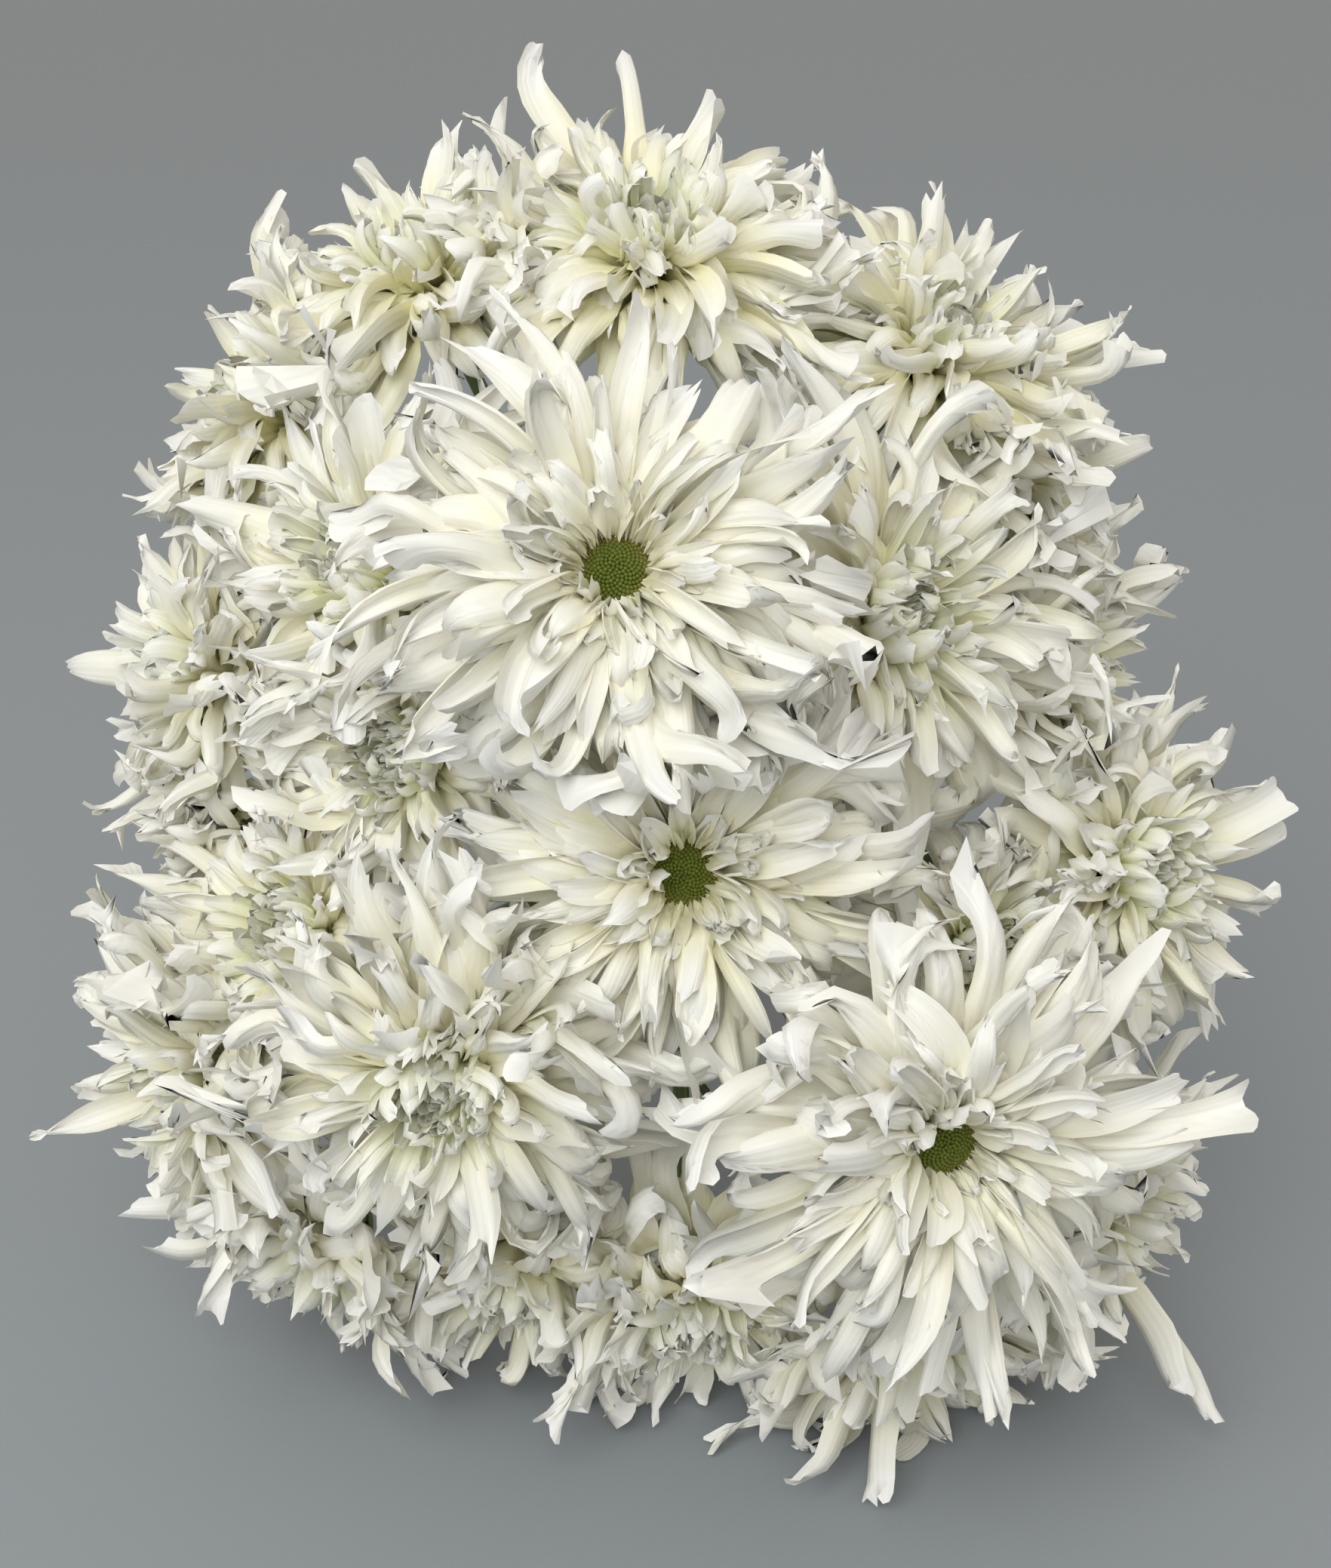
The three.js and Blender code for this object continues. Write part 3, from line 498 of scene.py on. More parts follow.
def ray_florets(bloom):
    """Draws every ray floret of a bloom, from its outermost to its innermost."""
    count = bloom["petals"]
    draws = Draws(bloom["index"], count)
    inward = np.linspace(0, 1, count)
    disc = bloom.get("disc")
    rise = np.interp(inward, INWARD, RISE_OPEN if disc else RISE_CLOSED)
    bend = np.interp(inward, INWARD, BEND_OPEN if disc else BEND_CLOSED)
    hook = np.interp(inward, INWARD, HOOK_OPEN if disc else HOOK_CLOSED)
    share = np.interp(inward, INWARD, SHARE_OPEN if disc else SHARE_CLOSED)
    root = np.interp(inward, INWARD, ROOT_RADIUS)
    height = np.interp(inward, INWARD, ROOT_HEIGHT)
    if disc:
        root = np.maximum(root, disc + 0.4)
        height = np.minimum(height, OPEN_ROOT_HEIGHT)
    size = (bloom["reach"] / USUAL_REACH) ** 0.5
    length = bloom["reach"] * share * draws.between(0.76, 1.14) * 1.06 - root * 0.5
    kind = draws.choice(TIP_ODDS)
    claw = kind == CLAW
    quill = draws.between(0, 1) < 0.2
    convex = draws.between(0, 1) < np.interp(inward, [0, 0.7, 1], [0.65, 0.55, 0.2])
    tip_curl = np.where(convex, draws.between(-2.2, -0.3), draws.between(0.2, 1.7))
    horned = np.where(kind == HORNS, draws.between(0.5, 1.6), 0)
    return {
        "angle": np.arange(count) * GOLDEN_ANGLE + draws.between(-0.2, 0.2),
        "rise": np.radians(rise + draws.between(-10, 10)),
        "bend": np.radians(bend + draws.between(-34, 34)),
        "hook": np.radians(hook + draws.between(-45, 45)),
        "sway": np.radians(draws.between(-12, 12)),
        "sweep": np.radians(draws.between(-55, 55)),
        "twist": np.radians(draws.between(-38, 38)),
        "share": share,
        "root": root + draws.between(-0.5, 0.5),
        "height": height + draws.between(-0.3, 0.3),
        "layer": PETAL_LAYER * 2 * inward,
        "clearance": draws.between(-10, 1.5),
        "length": length,
        "width": np.interp(inward, INWARD, WIDTH) * draws.between(0.8, 1.25) * size,
        "neck": draws.between(0.46, 0.62),
        "widest": draws.between(0.35, 0.6),
        "taper": np.where(claw, draws.between(0.5, 0.8), draws.between(0.1, 0.45)),
        "base_roll": np.where(quill, 2.6, draws.between(1.7, 2.3)),
        "tip_roll": np.where(convex, draws.between(-2.5, -1.2), draws.between(1.1, 2.5)),
        "rib": draws.between(0.12, 0.28),
        "ruffles": draws.between(1.2, 3.2),
        "phase": draws.between(0, 2 * np.pi),
        "ruffle": draws.between(0.1, 0.8) * np.clip(length / 36, 0.2, 1),
        "fork_from": draws.between(0.55, 0.72),
        "ends": tip_ends(draws, kind, length),
        "curl": lobes(draws, RAY, -0.7, 0.7) + tip_curl[:, None] + np.outer(horned, np.abs(RAY.across)),
        "spread": RAY.across * draws.between(-1.0, 0.5)[:, None],
        "tone": draws.between(0, 1),
        "green": smooth(inward, 0.62, 1) * (0.1 if disc else 0.75),
    }


def tip_ends(draws, kind, length):
    """Where each place across each petal ends, as a share of the petal's length."""
    low, high = TIP_DEPTHS[kind].T
    depth = (low + (high - low) * draws.between(0, 1)) / length
    depth = np.minimum(depth, 0.34)[:, None]
    return 1 - depth * TIPS[kind] * draws.per_place(0.88, 1.12, len(RAY.across))


def stray_florets(bloom):
    """Long ray florets that leave from under the others and run straight to tips outside the bloom."""
    away = np.array([head_point(tip) for tip in bloom["strays"]]) - bloom["root"]
    right, up = away @ bloom["side"], away @ bloom["across"]
    outward = np.hypot(right, up) - ROOT_RADIUS[0]
    upward = away @ bloom["axis"] - ROOT_HEIGHT[0]
    count = len(away)
    draws = Draws(500 + bloom["index"], count)
    outermost = picked(ray_florets(bloom), slice(0, count))
    bend = np.radians(draws.between(-24, -8))
    hook = np.radians(draws.between(-35, 10))
    return {
        **outermost,
        "angle": np.arctan2(up, right),
        "rise": np.arctan2(upward, outward) - bend / 3 - hook / 8,
        "bend": bend,
        "hook": hook,
        "sway": np.zeros(count),
        "sweep": np.radians(draws.between(-8, 8)),
        "twist": np.radians(draws.between(-30, 30)),
        "share": np.zeros(count),
        "root": np.full(count, ROOT_RADIUS[0]),
        "height": np.full(count, ROOT_HEIGHT[0]),
        "layer": np.zeros(count),
        "length": np.hypot(outward, upward) * 1.03,
        "width": draws.between(9, 11.5),
        "curl": outermost["curl"] * 0.5,
    }


def eye_florets(bloom):
    """The small blunt florets that curl in over the eye of a closed bloom."""
    draws = Draws(1000 + bloom["index"], EYE_FLORETS)
    inward = np.linspace(0, 1, EYE_FLORETS)
    return {
        "angle": np.arange(EYE_FLORETS) * GOLDEN_ANGLE + draws.between(-0.1, 0.1),
        "rise": np.radians(np.interp(inward, [0, 1], [66, 84]) + draws.between(-6, 6)),
        "bend": np.radians(np.interp(inward, [0, 1], [28, 4]) + draws.between(-10, 10)),
        "hook": np.radians(draws.between(-10, 25)),
        "sway": np.radians(draws.between(-8, 8)),
        "sweep": np.radians(draws.between(-10, 10)),
        "twist": np.radians(draws.between(-15, 15)),
        "share": np.zeros(EYE_FLORETS),
        "root": 5.2 * np.sqrt(1 - inward) + 0.2,
        "height": np.interp(inward, [0, 1], [6.5, 8.5]),
        "layer": np.zeros(EYE_FLORETS),
        "clearance": np.zeros(EYE_FLORETS),
        "length": np.interp(inward, [0, 1], [12.5, 8.5]) * draws.between(0.85, 1.12),
        "width": np.interp(inward, [0, 1], [4.6, 3.2]) * draws.between(0.85, 1.15),
        "neck": draws.between(0.5, 0.6),
        "widest": draws.between(0.6, 0.8),
        "taper": draws.between(0.0, 0.2),
        "base_roll": draws.between(1.6, 2.2),
        "tip_roll": draws.between(1.2, 1.7),
        "rib": draws.between(0.04, 0.1),
        "ruffles": draws.between(1, 2),
        "phase": draws.between(0, 2 * np.pi),
        "ruffle": draws.between(0, 0.12),
        "fork_from": draws.between(0.6, 0.7),
        "ends": 1 - draws.between(0.1, 0.2)[:, None] * SMALL_TIPS[draws.choice(SMALL_TIP_ODDS)],
        "curl": lobes(draws, SMALL, 0, 0.4),
        "spread": SMALL.across * draws.between(-0.2, 0.1)[:, None],
        "tone": draws.between(0, 1),
        "green": 0.55 + 0.45 * inward,
    }


def picked(petals, chosen):
    return {name: value[chosen] for name, value in petals.items()}


def add_petals(mesh, bloom, boundaries, petals, section, rows):
    lines = petal_lines(bloom, boundaries, petals)
    upper_face, under_face, t = petal_surface(lines, petals, section, rows)
    points = section.points(upper_face, under_face)
    faces = section.faces(rows)
    rim = section.rim(rows)
    along = section.points(t[..., None], t[:, :, section.underside, None])[..., 0]
    places = np.broadcast_to(section.across[:, None], (1, rows, len(section.across), 1))
    across = section.points(places, places[:, :, section.underside])[0, ..., 0]
    for k in range(len(points)):
        mesh.add(
            points[k],
            faces,
            rim=rim,
            along=along[k],
            across=across,
            tone=petals["tone"][k],
            green=petals["green"][k],
            cream=bloom["cream"],
        )


def circle(bloom, height, radius, sides):
    angle = np.linspace(0, 2 * np.pi, sides, endpoint=False)[:, None]
    ring = np.cos(angle) * bloom["side"] + np.sin(angle) * bloom["across"]
    return bloom["root"] + bloom["axis"] * height + ring * radius


def add_receptacle(mesh, bloom):
    """The knob that the petals grow from."""
    profile = [(0.4, 3), (1.2, 6.4), (3, 7.6), (5.6, 6.6), (6.3, 4), (6.4, 0.4)]
    sides = 20
    rings = [circle(bloom, height, radius, sides) for height, radius in profile]
    looks = {"rim": 0, "along": 0, "across": 0, "tone": 0.5, "green": 0.8, "cream": bloom["cream"]}
    mesh.add(np.concatenate(rings), tube_faces(len(rings), sides), **looks)


def bloom_piece(bloom, blooms, material):
    mesh = Mesh()
    boundaries = boundaries_of(bloom, blooms)
    add_receptacle(mesh, bloom)
    petals = ray_florets(bloom)
    long = petals["length"] > LONG_PETAL
    add_petals(mesh, bloom, boundaries, picked(petals, long), RAY, ROWS_LONG)
    add_petals(mesh, bloom, boundaries, picked(petals, ~long), RAY, ROWS_SHORT)
    if "strays" in bloom:
        add_petals(mesh, bloom, boundaries, stray_florets(bloom), RAY, ROWS_LONG)
    if "disc" not in bloom:
        add_petals(mesh, bloom, boundaries, eye_florets(bloom), SMALL, ROWS_SMALL)
    number = f"{bloom['index'] + 1:02d}"
    mesh.piece(f"bloom_{number}_ray_florets", material, "petals", f"bloom_{number}_petals")


def catmull_rom(knots, steps):
    """Points along a smooth curve through knots, with the centripetal spacing of a drawn stem."""
    knots = np.vstack([2 * knots[0] - knots[1], knots, 2 * knots[-1] - knots[-2]])
    share = np.linspace(0, 1, steps, endpoint=False)[:, None]
    points = []
    for p0, p1, p2, p3 in zip(knots, knots[1:], knots[2:], knots[3:]):
        d0, d1, d2 = (np.sqrt(np.linalg.norm(b - a)) for a, b in ((p0, p1), (p1, p2), (p2, p3)))
        leave = ((p1 - p0) / d0 - (p2 - p0) / (d0 + d1) + (p2 - p1) / d1) * d1
        arrive = ((p2 - p1) / d1 - (p3 - p1) / (d1 + d2) + (p3 - p2) / d2) * d1
        square = -3 * p1 + 3 * p2 - 2 * leave - arrive
        cube = 2 * p1 - 2 * p2 + leave + arrive
        points.append(p1 + leave * share + square * share**2 + cube * share**3)
    return np.vstack([*points, knots[-2]])


def bezier(start, leave, arrive, end, steps):
    t = np.linspace(0, 1, steps + 1)[:, None]
    return (1 - t) ** 3 * start + 3 * (1 - t) ** 2 * t * leave + 3 * (1 - t) * t**2 * arrive + t**3 * end


def along_curve(curve, shares):
    """Points and directions at shares of a curve's length."""
    lengths = np.concatenate([[0], np.cumsum(np.linalg.norm(np.diff(curve, axis=0), axis=1))])
    at = np.asarray(shares) * lengths[-1]
    points = np.stack([np.interp(at, lengths, axis) for axis in curve.T], axis=-1)
    little = 0.004 * lengths[-1]
    ahead = np.stack([np.interp(at + little, lengths, axis) for axis in curve.T], axis=-1)
    behind = np.stack([np.interp(at - little, lengths, axis) for axis in curve.T], axis=-1)
    return points, unit(ahead - behind)


def tube_faces(rings, sides):
    """The faces of a closed tube through rings of points, with a cap at each end."""
    faces = [tuple(range(sides))[::-1]]
    for row in range(rings - 1):
        for i in range(sides):
            j = (i + 1) % sides
            above = (row + 1) * sides
            faces.append((row * sides + i, row * sides + j, above + j, above + i))
    return faces + [tuple(range((rings - 1) * sides, rings * sides))]


def add_tube(mesh, points, directions, radii, sides, first_side, **values):
    """A ridged stalk round a line of points. radii has one radius for each point."""
    side = first_side
    angle = np.linspace(0, 2 * np.pi, sides, endpoint=False)
    ridged = 1 + RIDGE_DEPTH * np.cos(angle * STEM_RIDGES)
    rings = []
    for point, direction, radius in zip(points, directions, radii):
        side = unit(side - direction * dot(side, direction))
        up = np.cross(direction, side)
        ring = np.cos(angle)[:, None] * side + np.sin(angle)[:, None] * up
        rings.append(point + ring * (radius * ridged)[:, None])
    groove = np.tile(0.5 - 0.5 * np.cos(angle * STEM_RIDGES), len(rings))
    length = np.repeat(np.linspace(0, 1, len(rings)), sides)
    mesh.add(np.concatenate(rings), tube_faces(len(rings), sides), groove=groove, along=length, **values)


def trunk_curve(blooms):
    middle = blooms[MIDDLE_BLOOM]
    in_head = [head_point(place) for place in STEM_ROUTE_IN_HEAD]
    top = middle["root"] + middle["axis"] * CALYX_FOOT
    return catmull_rom(np.array([*STEM_ROUTE, *in_head, top]), 60)


def branch_curve(trunk, bloom, along):
    start, direction = along_curve(trunk, along)
    reach = np.linalg.norm(bloom["root"] - start)
    leave = start + direction * reach * LEAVE_STRAIGHT
    arrive = bloom["root"] - bloom["axis"] * reach * ARRIVE_STRAIGHT
    foot = bloom["root"] + bloom["axis"] * CALYX_FOOT
    return bezier(start, leave, arrive, foot, 40)


def add_calyx(mesh, bloom):
    """The green cup under a bloom, covered with overlapping bracts."""
    rings = [circle(bloom, height, radius, CALYX_SIDES) for height, radius in CALYX_PROFILE]
    mesh.add(np.concatenate(rings), tube_faces(len(rings), CALYX_SIDES), groove=0.5, along=1, young=0.8)
    random = np.random.default_rng(2000 + bloom["index"])
    for row, (height, radius, length, lean) in enumerate(BRACT_ROWS):
        for k in range(BRACTS_IN_ROW):
            angle = (k + 0.5 * row + random.uniform(-0.15, 0.15)) / BRACTS_IN_ROW * 2 * np.pi
            radial = np.cos(angle) * bloom["side"] + np.sin(angle) * bloom["across"]
            tangent = np.cross(bloom["axis"], radial)
            foot = bloom["root"] + bloom["axis"] * height + radial * radius
            lean_now = np.radians(lean + random.uniform(-8, 8))
            direction = radial * np.cos(lean_now) + bloom["axis"] * np.sin(lean_now)
            reach = length * random.uniform(0.85, 1.15)
            add_blade(mesh, foot, direction, tangent, reach, BRACT_WIDTH, 0.3, 0.7)


def add_blade(mesh, foot, direction, across, length, width, curl, young):
    """A small narrow leaf, folded along its middle and thin at its edges."""
    out = np.cross(direction, across)
    rows = np.array([0, 0.25, 0.55, 0.82, 1])
    halves = width / 2 * np.array([0.5, 0.9, 1, 0.55, 0.06])
    middle = foot + direction * (rows * length)[:, None] + out * (curl * length * rows**2)[:, None]
    edge = out * (0.3 * halves)[:, None]
    left = middle - across * halves[:, None] + edge
    right = middle + across * halves[:, None] + edge
    under = middle - out * 0.35
    rings = np.stack([left, under, right, middle], axis=1)
    groove = np.tile([0, 1, 0, 1], len(rows))
    mesh.add(rings, tube_faces(len(rows), 4), groove=groove, along=0.5, young=young)


def add_trunk(mesh, trunk, middle):
    """The main stem, which is a little thicker where each leaf grows."""
    shares = np.linspace(0, 1, 150)
    points, directions = along_curve(trunk, shares)
    radii = STEM_RADIUS_AT_CUT + (STEM_RADIUS_AT_TOP - STEM_RADIUS_AT_CUT) * shares
    for leaf in LEAVES:
        radii = radii + LEAF_JOINT * np.exp(-((shares - leaf["along"]) / 0.008) ** 2)
    points[:, 2] = np.maximum(points[:, 2], radii * (1 + RIDGE_DEPTH))
    young = smooth(np.repeat(shares, STEM_SIDES), 0.3, 0.9)
    add_tube(mesh, points, directions, radii, STEM_SIDES, middle["side"], young=young)


def stem_piece(blooms, trunk, material):
    """The whole stem: trunk, side branches with their small leaves, and a calyx under each bloom."""
    mesh = Mesh()
    middle = blooms[MIDDLE_BLOOM]
    add_trunk(mesh, trunk, middle)
    others = sorted((b for b in blooms if b is not middle), key=lambda b: b["eye"][2])
    for i, bloom in enumerate(others):
        along = FIRST_BRANCH + (LAST_BRANCH - FIRST_BRANCH) * i / (len(others) - 1)
        curve = branch_curve(trunk, bloom, along)
        points, directions = along_curve(curve, np.linspace(0, 1, BRANCH_RINGS))
        radii = np.full(BRANCH_RINGS, BRANCH_RADIUS)
        add_tube(mesh, points, directions, radii, BRANCH_SIDES, bloom["side"], young=0.9)
        add_branch_leaves(mesh, curve, bloom)
    for bloom in blooms:
        add_calyx(mesh, bloom)
    mesh.piece("stem_and_calyxes", material, "stem", "stem")


def add_branch_leaves(mesh, curve, bloom):
    """Two small narrow leaves that grow on a side branch."""
    random = np.random.default_rng(3000 + bloom["index"])
    for share in BRANCH_LEAVES:
        point, direction = along_curve(curve, share + random.uniform(-0.05, 0.05))
        side = unit(np.cross(direction, unit(random.normal(size=3))))
        outward = unit(side * 0.6 + direction * 0.8)
        across = unit(np.cross(direction, outward))
        length = random.uniform(13, 20)
        foot = point + side * BRANCH_RADIUS * 0.8
        add_blade(mesh, foot, outward, across, length, length * 0.26, 0.15, 0.15)


def leaf_line(leaf, trunk):
    """A leaf's rib from the stem to its tip: points, the way across and the way up at each step."""
    foot, forward = along_curve(trunk, leaf["along"])
    outward = unit(UP - forward * forward[2])
    turn = Matrix.Rotation(np.radians(leaf["round"]), 3, forward.tolist())
    outward = np.array(turn @ Vector(outward.tolist()))
    direction = outward * LEAF_OUTWARD + forward * LEAF_FORWARD
    side = unit(np.cross(UP, direction))[None]
    point = (foot + outward * LEAF_START)[None]
    surface = [(np.zeros(3), -UP)]
    points, sides, uppers = [], [], []
    for step in range(LEAF_STEPS + 1):
        t = step / LEAF_STEPS
        way = unit(direction - UP * leaf["droop"] * t * t)[None]
        way, side = turn_aside(point, way, side, surface, [np.array([LEAF_CLEARANCE])], forward)
        points.append(point[0])
        sides.append(side[0])
        uppers.append(np.cross(way, side)[0])
        point = point + way * leaf["length"] / LEAF_STEPS
    return [np.array(part) for part in (points, sides, uppers)]


def veins_of(t, across, out, blade):
    """How near each point of a leaf is to the rib or a side vein, from 0 to 1."""
    veins = np.zeros_like(out)
    for start in LEAF_VEINS:
        off = t - start - 0.10 * np.abs(across)
        veins = np.maximum(veins, np.exp(-(off / 0.012) ** 2) * smooth(np.abs(across), 1.05, 0.7))
    return np.maximum(veins, np.exp(-(out / 0.7) ** 2)) * blade


def leaf_piece(number, leaf, trunk, material):
    """One lobed leaf with a sunken rib and veins, waved edges and a billowing blade."""
    across = np.linspace(-1, 1, LEAF_PLACES)[None]
    t = np.linspace(0, 1, LEAF_ROWS)[:, None]
    random = np.random.default_rng(4000 + number)
    teeth = 1 + 0.07 * np.sin(t * 150 + random.uniform(0, 6))
    half = leaf["length"] * np.interp(t, *zip(*LEAF_OUTLINE)) * teeth
    out = half * across
    reach = np.clip(t + LEAF_SWEEP * np.abs(out) / leaf["length"] * np.sin(t * np.pi), 0, 1)
    at = reach * LEAF_STEPS
    low = np.clip(np.floor(at).astype(int), 0, LEAF_STEPS - 1)
    part = (at - low)[..., None]
    line = leaf_line(leaf, trunk)
    middle, side, upper = (values[low] * (1 - part) + values[low + 1] * part for values in line)
    blade = smooth(t, 0.12, 0.3)
    veins = veins_of(t, across, out, blade)
    billow = np.sin(t * 21 + across * 2 + random.uniform(0, 6)) * np.abs(across) * 1.1 * blade
    lift = np.abs(out) * LEAF_FOLD + billow - veins * 0.35
    top = middle + side * out[..., None] + upper * lift[..., None]
    under = top - upper * (LEAF_THICKNESS + VEIN_THICKNESS * veins)[..., None]
    top[..., 2] = np.maximum(top[..., 2], LEAST_HEIGHT + LEAF_LEAST_TOP)
    under[..., 2] = np.maximum(under[..., 2], LEAST_HEIGHT)
    loop = np.concatenate([top, under[:, ::-1]], axis=1)
    mesh = Mesh()
    mesh.add(
        loop,
        tube_faces(LEAF_ROWS, LEAF_PLACES * 2),
        vein=np.concatenate([veins, veins[:, ::-1]], axis=1).ravel(),
        under=np.tile(np.repeat([0, 1], LEAF_PLACES), LEAF_ROWS),
    )
    mesh.piece(f"veined_leaf_{number}", material, "leaf", f"leaf_{number}")


def add_disc_floret(mesh, bloom, edge, k, random):
    """The disc floret at a place k in the spiral, counted from the middle of the disc."""
    share = np.sqrt((k + 0.5) / DISC_FLORETS)
    turn = k * GOLDEN_ANGLE
    radial = np.cos(turn) * bloom["side"] + np.sin(turn) * bloom["across"]
    out = share * edge * 0.97
    height = DISC_SEAT + 0.7 + 1.9 * (1 - share**2) - 0.35 * np.exp(-(share / 0.25) ** 2)
    middle = bloom["root"] + bloom["axis"] * height + radial * out
    up = unit(bloom["axis"] + radial * 0.55 * share)
    side = unit(np.cross(up, bloom["across"]))
    other = np.cross(up, side)
    size = (0.37 + 0.1 * share) * random.uniform(0.9, 1.1)
    tall = random.uniform(0.5, 0.62) + 0.25 * smooth(share, 0.85, 1)
    angle = np.linspace(0, 2 * np.pi, DISC_FLORET_SIDES, endpoint=False)
    ring = np.cos(angle)[:, None] * side + np.sin(angle)[:, None] * other
    levels = [middle + ring * size * r + up * tall * h for r, h in DISC_FLORET_PROFILE]
    # peak runs from 0 at a floret's foot to 1 at its top, and sets how much painted shade darkens it.
    mesh.add(
        np.concatenate(levels),
        tube_faces(len(levels), DISC_FLORET_SIDES),
        outward=share,
        tone=random.uniform(0, 1),
        peak=np.repeat([0, 0.4, 0.8, 1], DISC_FLORET_SIDES),
    )


def disc_piece(bloom, material):
    """A green eye: a low dome packed with tiny round disc florets, in the spirals that they grow in."""
    mesh = Mesh()
    random = np.random.default_rng(5000 + bloom["index"])
    edge = bloom["disc"] + 0.2
    levels = [(height, edge * share) for height, share in DISC_DOME] + [DISC_TOP]
    rings = [circle(bloom, DISC_SEAT + height, radius, DISC_SIDES) for height, radius in levels]
    # The dome gets peak 0, so it is painted dark as the shade under and between the florets.
    mesh.add(np.concatenate(rings), tube_faces(len(rings), DISC_SIDES), outward=0.5, tone=0.0, peak=0.0)
    for k in range(DISC_FLORETS):
        add_disc_floret(mesh, bloom, edge, k, random)
    number = f"{bloom['index'] + 1:02d}"
    mesh.piece(f"bloom_{number}_disc_florets", material, "disc", f"bloom_{number}_disc")


def shader(name, roughness):
    """A new material, with its Principled shader and a helper that adds linked nodes."""
    material = bpy.data.materials.new(name)
    material.use_nodes = True
    tree = material.node_tree
    principled = tree.nodes["Principled BSDF"]
    principled.inputs["Roughness"].default_value = roughness

    def node(kind, inputs=None, **settings):
        made = tree.nodes.new(kind)
        for key, value in settings.items():
            setattr(made, key, value)
        for key, value in (inputs or {}).items():
            if isinstance(value, bpy.types.NodeSocket):
                tree.links.new(value, made.inputs[key])
            else:
                made.inputs[key].default_value = value
        return made

    return material, principled, node


def coloured(principled, colour):
    principled.id_data.links.new(colour, principled.inputs["Base Color"])


def bumped(node, principled, height, strength, distance):
    bump = node("ShaderNodeBump", {"Height": height, "Strength": strength, "Distance": distance})
    principled.id_data.links.new(bump.outputs["Normal"], principled.inputs["Normal"])


def noise(node, scale, detail):
    place = node("ShaderNodeNewGeometry").outputs["Position"]
    return node("ShaderNodeTexNoise", {"Vector": place, "Scale": scale, "Detail": detail}).outputs["Fac"]


def value_of(node, name):
    return node("ShaderNodeAttribute", attribute_name=name).outputs["Fac"]


def mixed(node, factor, a, b):
    """Colour a where factor is 0 and b where it is 1."""
    made = node("ShaderNodeMix", data_type="RGBA")
    made.clamp_factor = True
    tree = made.id_data
    for socket, value in zip((made.inputs[0], made.inputs[6], made.inputs[7]), (factor, a, b)):
        if isinstance(value, bpy.types.NodeSocket):
            tree.links.new(value, socket)
        else:
            socket.default_value = value if socket is made.inputs[0] else (*value, 1)
    return made.outputs[2]


def ranged(node, value, low, high, to_low=0.0, to_high=1.0):
    inputs = {0: value, 1: low, 2: high, 3: to_low, 4: to_high}
    return node("ShaderNodeMapRange", inputs, interpolation_type="SMOOTHSTEP").outputs[0]


def maths(node, operation, *values):
    return node("ShaderNodeMath", dict(enumerate(values)), operation=operation).outputs[0]


def petal_material():
    """White at the tip and creamier towards the base, partly the petals' own cream and partly painted warm
    shade deep in the bloom, greenish low on the inner petals, with veins.
    """
    material, principled, node = shader("petal_white", 0.42)
    along, across = value_of(node, "along"), value_of(node, "across")
    cream, green, tone = value_of(node, "cream"), value_of(node, "green"), value_of(node, "tone")
    patches = noise(node, 60.0, 3.0)
    white = mixed(node, tone, (0.965, 0.955, 0.915), (0.96, 0.945, 0.87))
    # Partly painted shade: the bases' cream is the petals' own colour, made deeper and yellower to stand
    # for the warm shade that falls deep in the bloom.
    base_cream_and_shade = mixed(node, cream, (0.95, 0.915, 0.72), (0.93, 0.885, 0.5))
    depth = maths(node, "ADD", along, maths(node, "MULTIPLY", patches, 0.3))
    colour = mixed(node, ranged(node, depth, 0.3, 1.15), base_cream_and_shade, white)
    fresh = ranged(node, along, 1.1, 0.1)
    colour = mixed(node, maths(node, "MULTIPLY", green, fresh), colour, (0.76, 0.82, 0.4))
    coloured(principled, colour)
    principled.inputs["Specular IOR Level"].default_value = 0.45
    veins = maths(node, "SINE", maths(node, "MULTIPLY", across, 26.0))
    veins = maths(node, "MULTIPLY", veins, ranged(node, along, 0.05, 0.4))
    bumped(node, principled, veins, 0.3, 0.00006)
    return material


def plain_material(name, colour, roughness):
    material, principled, node = shader(name, roughness)
    principled.inputs["Base Color"].default_value = (*colour, 1)
    return material


def green_material(name, roughness, base, young, groove):
    """Green skin: base colour, the colour of young growth, and how far grooves are darkened."""
    material, principled, node = shader(name, roughness)
    patches = noise(node, 140.0, 4.0)
    colour = mixed(node, value_of(node, "young"), base, young)
    colour = mixed(node, maths(node, "MULTIPLY", value_of(node, "groove"), 0.6), colour, groove)
    darker = mixed(node, ranged(node, patches, 0.35, 0.7, 0.0, 0.35), colour, groove)
    coloured(principled, darker)
    grain = noise(node, 1800.0, 3.0)
    bumped(node, principled, grain, 0.4, 0.0002)
    return material


def leaf_material():
    """Dark green above, paler below and along the veins."""
    material, principled, node = shader("leaf_green", 0.5)
    patches = noise(node, 90.0, 4.0)
    top = mixed(node, patches, (0.018, 0.055, 0.012), (0.045, 0.10, 0.022))
    both = mixed(node, value_of(node, "under"), top, (0.11, 0.18, 0.08))
    veined = mixed(node, maths(node, "MULTIPLY", value_of(node, "vein"), 0.7), both, (0.14, 0.22, 0.07))
    coloured(principled, veined)
    cells = noise(node, 900.0, 3.0)
    bumped(node, principled, cells, 0.5, 0.0003)
    return material


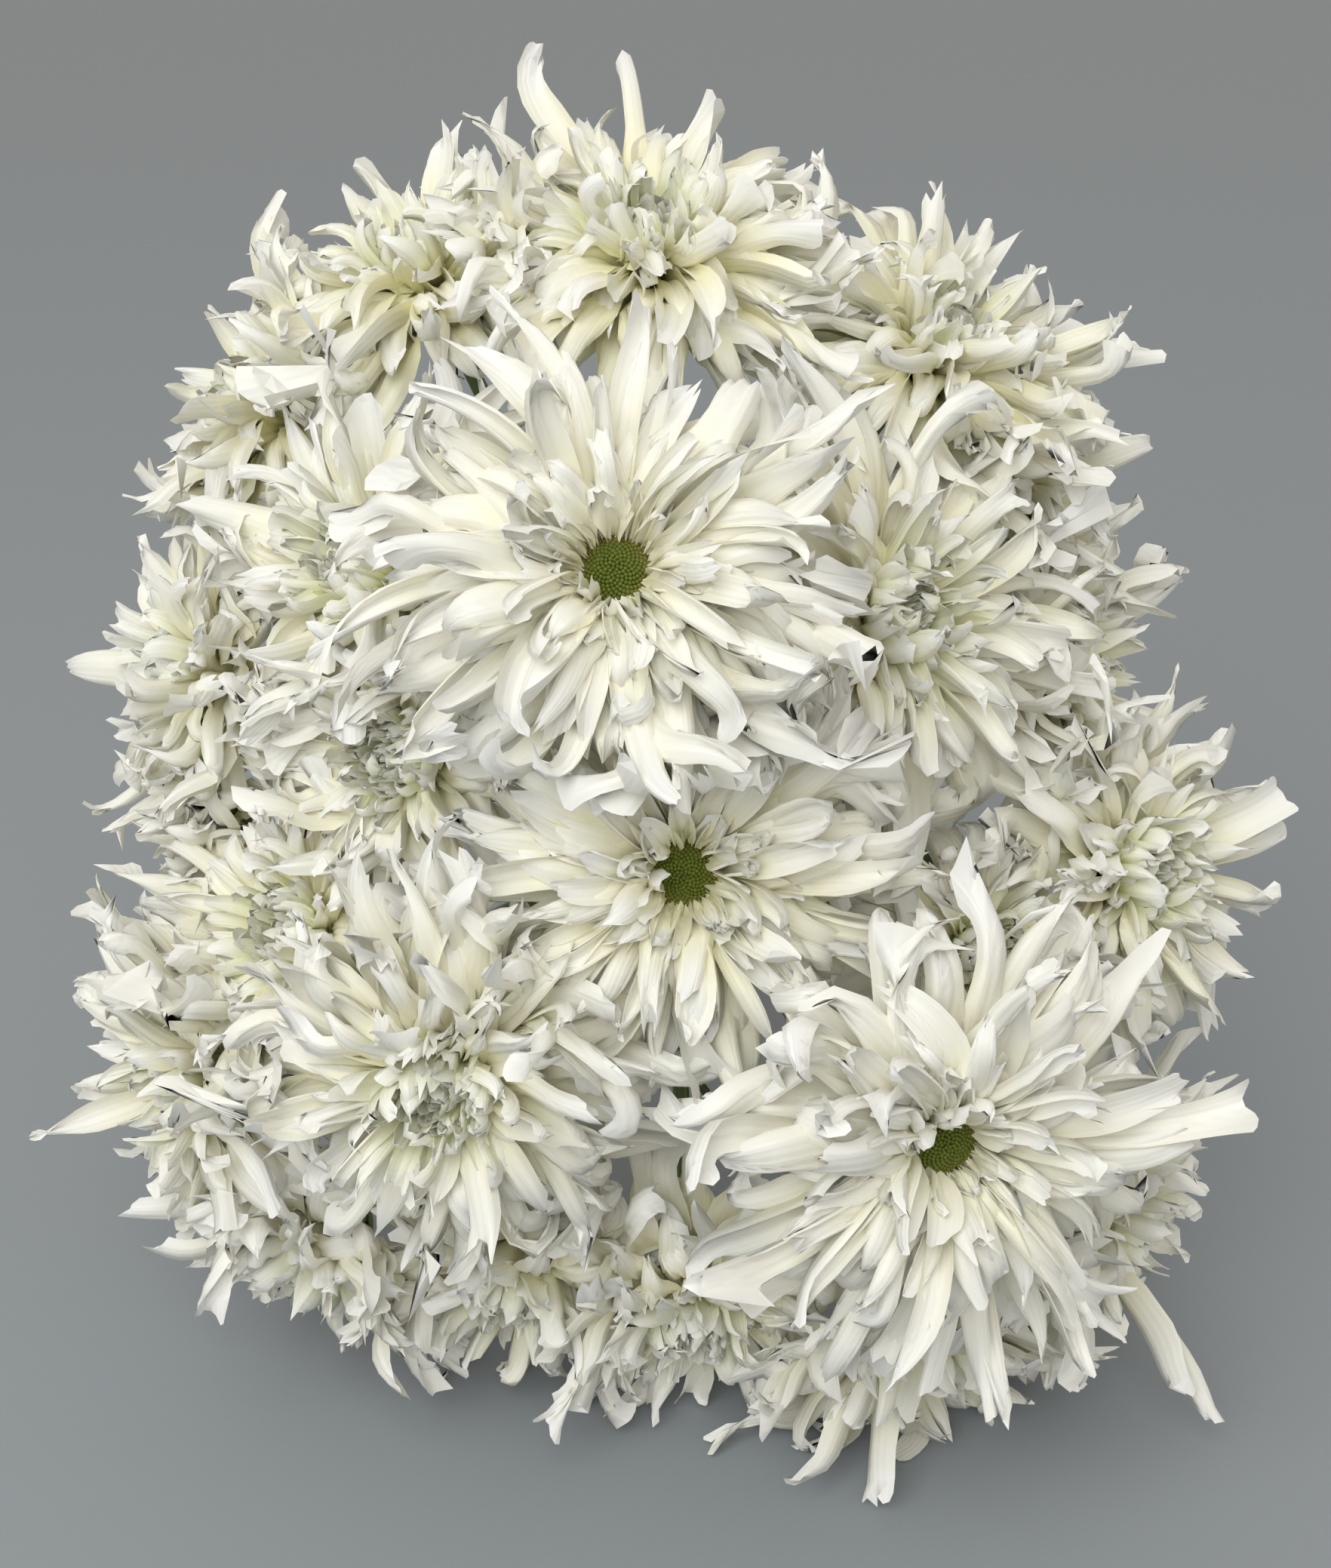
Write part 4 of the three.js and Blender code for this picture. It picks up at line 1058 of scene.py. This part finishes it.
def disc_material():
    """Olive green florets, with painted shade that darkens each floret towards its foot between them, and
    yellow-brown at the rim.
    """
    material, principled, node = shader("disc_olive", 0.55)
    patches = noise(node, 120.0, 2.0)
    outward, peak, tone = value_of(node, "outward"), value_of(node, "peak"), value_of(node, "tone")
    green = mixed(node, tone, (0.075, 0.1, 0.006), (0.115, 0.145, 0.01))
    edge = mixed(node, patches, (0.14, 0.16, 0.014), (0.19, 0.145, 0.022))
    colour = mixed(node, ranged(node, outward, 0.62, 1.05), green, edge)
    # Painted shade: the lower a point stands on its floret, the nearer to black it is painted. The dome
    # under the florets, whose peak is 0, is painted darkest.
    colour = mixed(node, ranged(node, peak, 0.9, 0.0, 0.0, 0.85), colour, (0.03, 0.045, 0.002))
    coloured(principled, colour)
    principled.inputs["Specular IOR Level"].default_value = 0.35
    return material


def camera():
    """The photograph's view: straight at the head's face."""
    data = bpy.data.cameras.new("camera")
    data.sensor_width = CAMERA_SENSOR
    data.lens = CAMERA_LENS
    made = bpy.data.objects.new("camera", data)
    turn = Matrix(HEAD_AXES.T.tolist()).to_4x4()
    spot = head_point((0, 0, CAMERA_DISTANCE)) * MM
    made.matrix_world = Matrix.Translation(spot.tolist()) @ turn
    data.clip_start = 0.01
    data.clip_end = 20
    bpy.context.scene.collection.objects.link(made)
    bpy.context.scene.camera = made


def key_light():
    """A soft round light over the head's upper left, which shines at its middle."""
    data = bpy.data.lights.new("key", "AREA")
    data.shape = "DISK"
    data.size = KEY_DIAMETER_M
    data.energy = KEY_WATTS
    data.color = KEY_COLOUR
    made = bpy.data.objects.new("key", data)
    spot = head_point(KEY_PLACE) * MM
    out = unit(spot - HEAD_MIDDLE * MM)
    across = unit(np.cross(HEAD_AXES[1] + 0.01 * HEAD_AXES[0], out))
    turn = np.array([across, np.cross(out, across), out])
    made.matrix_world = Matrix.Translation(spot.tolist()) @ Matrix(turn.T.tolist()).to_4x4()
    bpy.context.scene.collection.objects.link(made)


def sky():
    """Even warm light from all round, and how bright the picture is."""
    world = bpy.data.worlds.new("world")
    world.use_nodes = True
    background = world.node_tree.nodes["Background"]
    background.inputs["Color"].default_value = SKY_COLOUR
    background.inputs["Strength"].default_value = SKY_STRENGTH
    bpy.context.scene.world = world
    bpy.context.scene.view_settings.view_transform = "Standard"
    bpy.context.scene.view_settings.gamma = GAMMA


def lay_floor():
    """A plain grey floor, which the flower lies on."""
    data = bpy.data.meshes.new("floor")
    corners = [(x * FLOOR_HALF_M, y * FLOOR_HALF_M, 0) for x, y in ((-1, -1), (1, -1), (1, 1), (-1, 1))]
    data.from_pydata(corners, [], [(0, 1, 2, 3)])
    data.materials.append(plain_material("floor_grey", FLOOR_COLOUR, 0.8))
    floor = bpy.data.objects.new("floor", data)
    bpy.context.scene.collection.objects.link(floor)


camera()
sky()
lay_floor()
key_light()
petal_white = petal_material()
disc_olive = disc_material()
leaf_green = leaf_material()
stem_green = green_material("stem_green", 0.5, STEM_BASE, STEM_YOUNG, STEM_GROOVE)
blooms = [bloom_frame(index, bloom) for index, bloom in enumerate(BLOOMS)]
for bloom in blooms:
    bloom_piece(bloom, blooms, petal_white)
    if "disc" in bloom:
        disc_piece(bloom, disc_olive)
trunk = trunk_curve(blooms)
stem_piece(blooms, trunk, stem_green)
for number, leaf in enumerate(LEAVES, 1):
    leaf_piece(number, leaf, trunk, leaf_green)
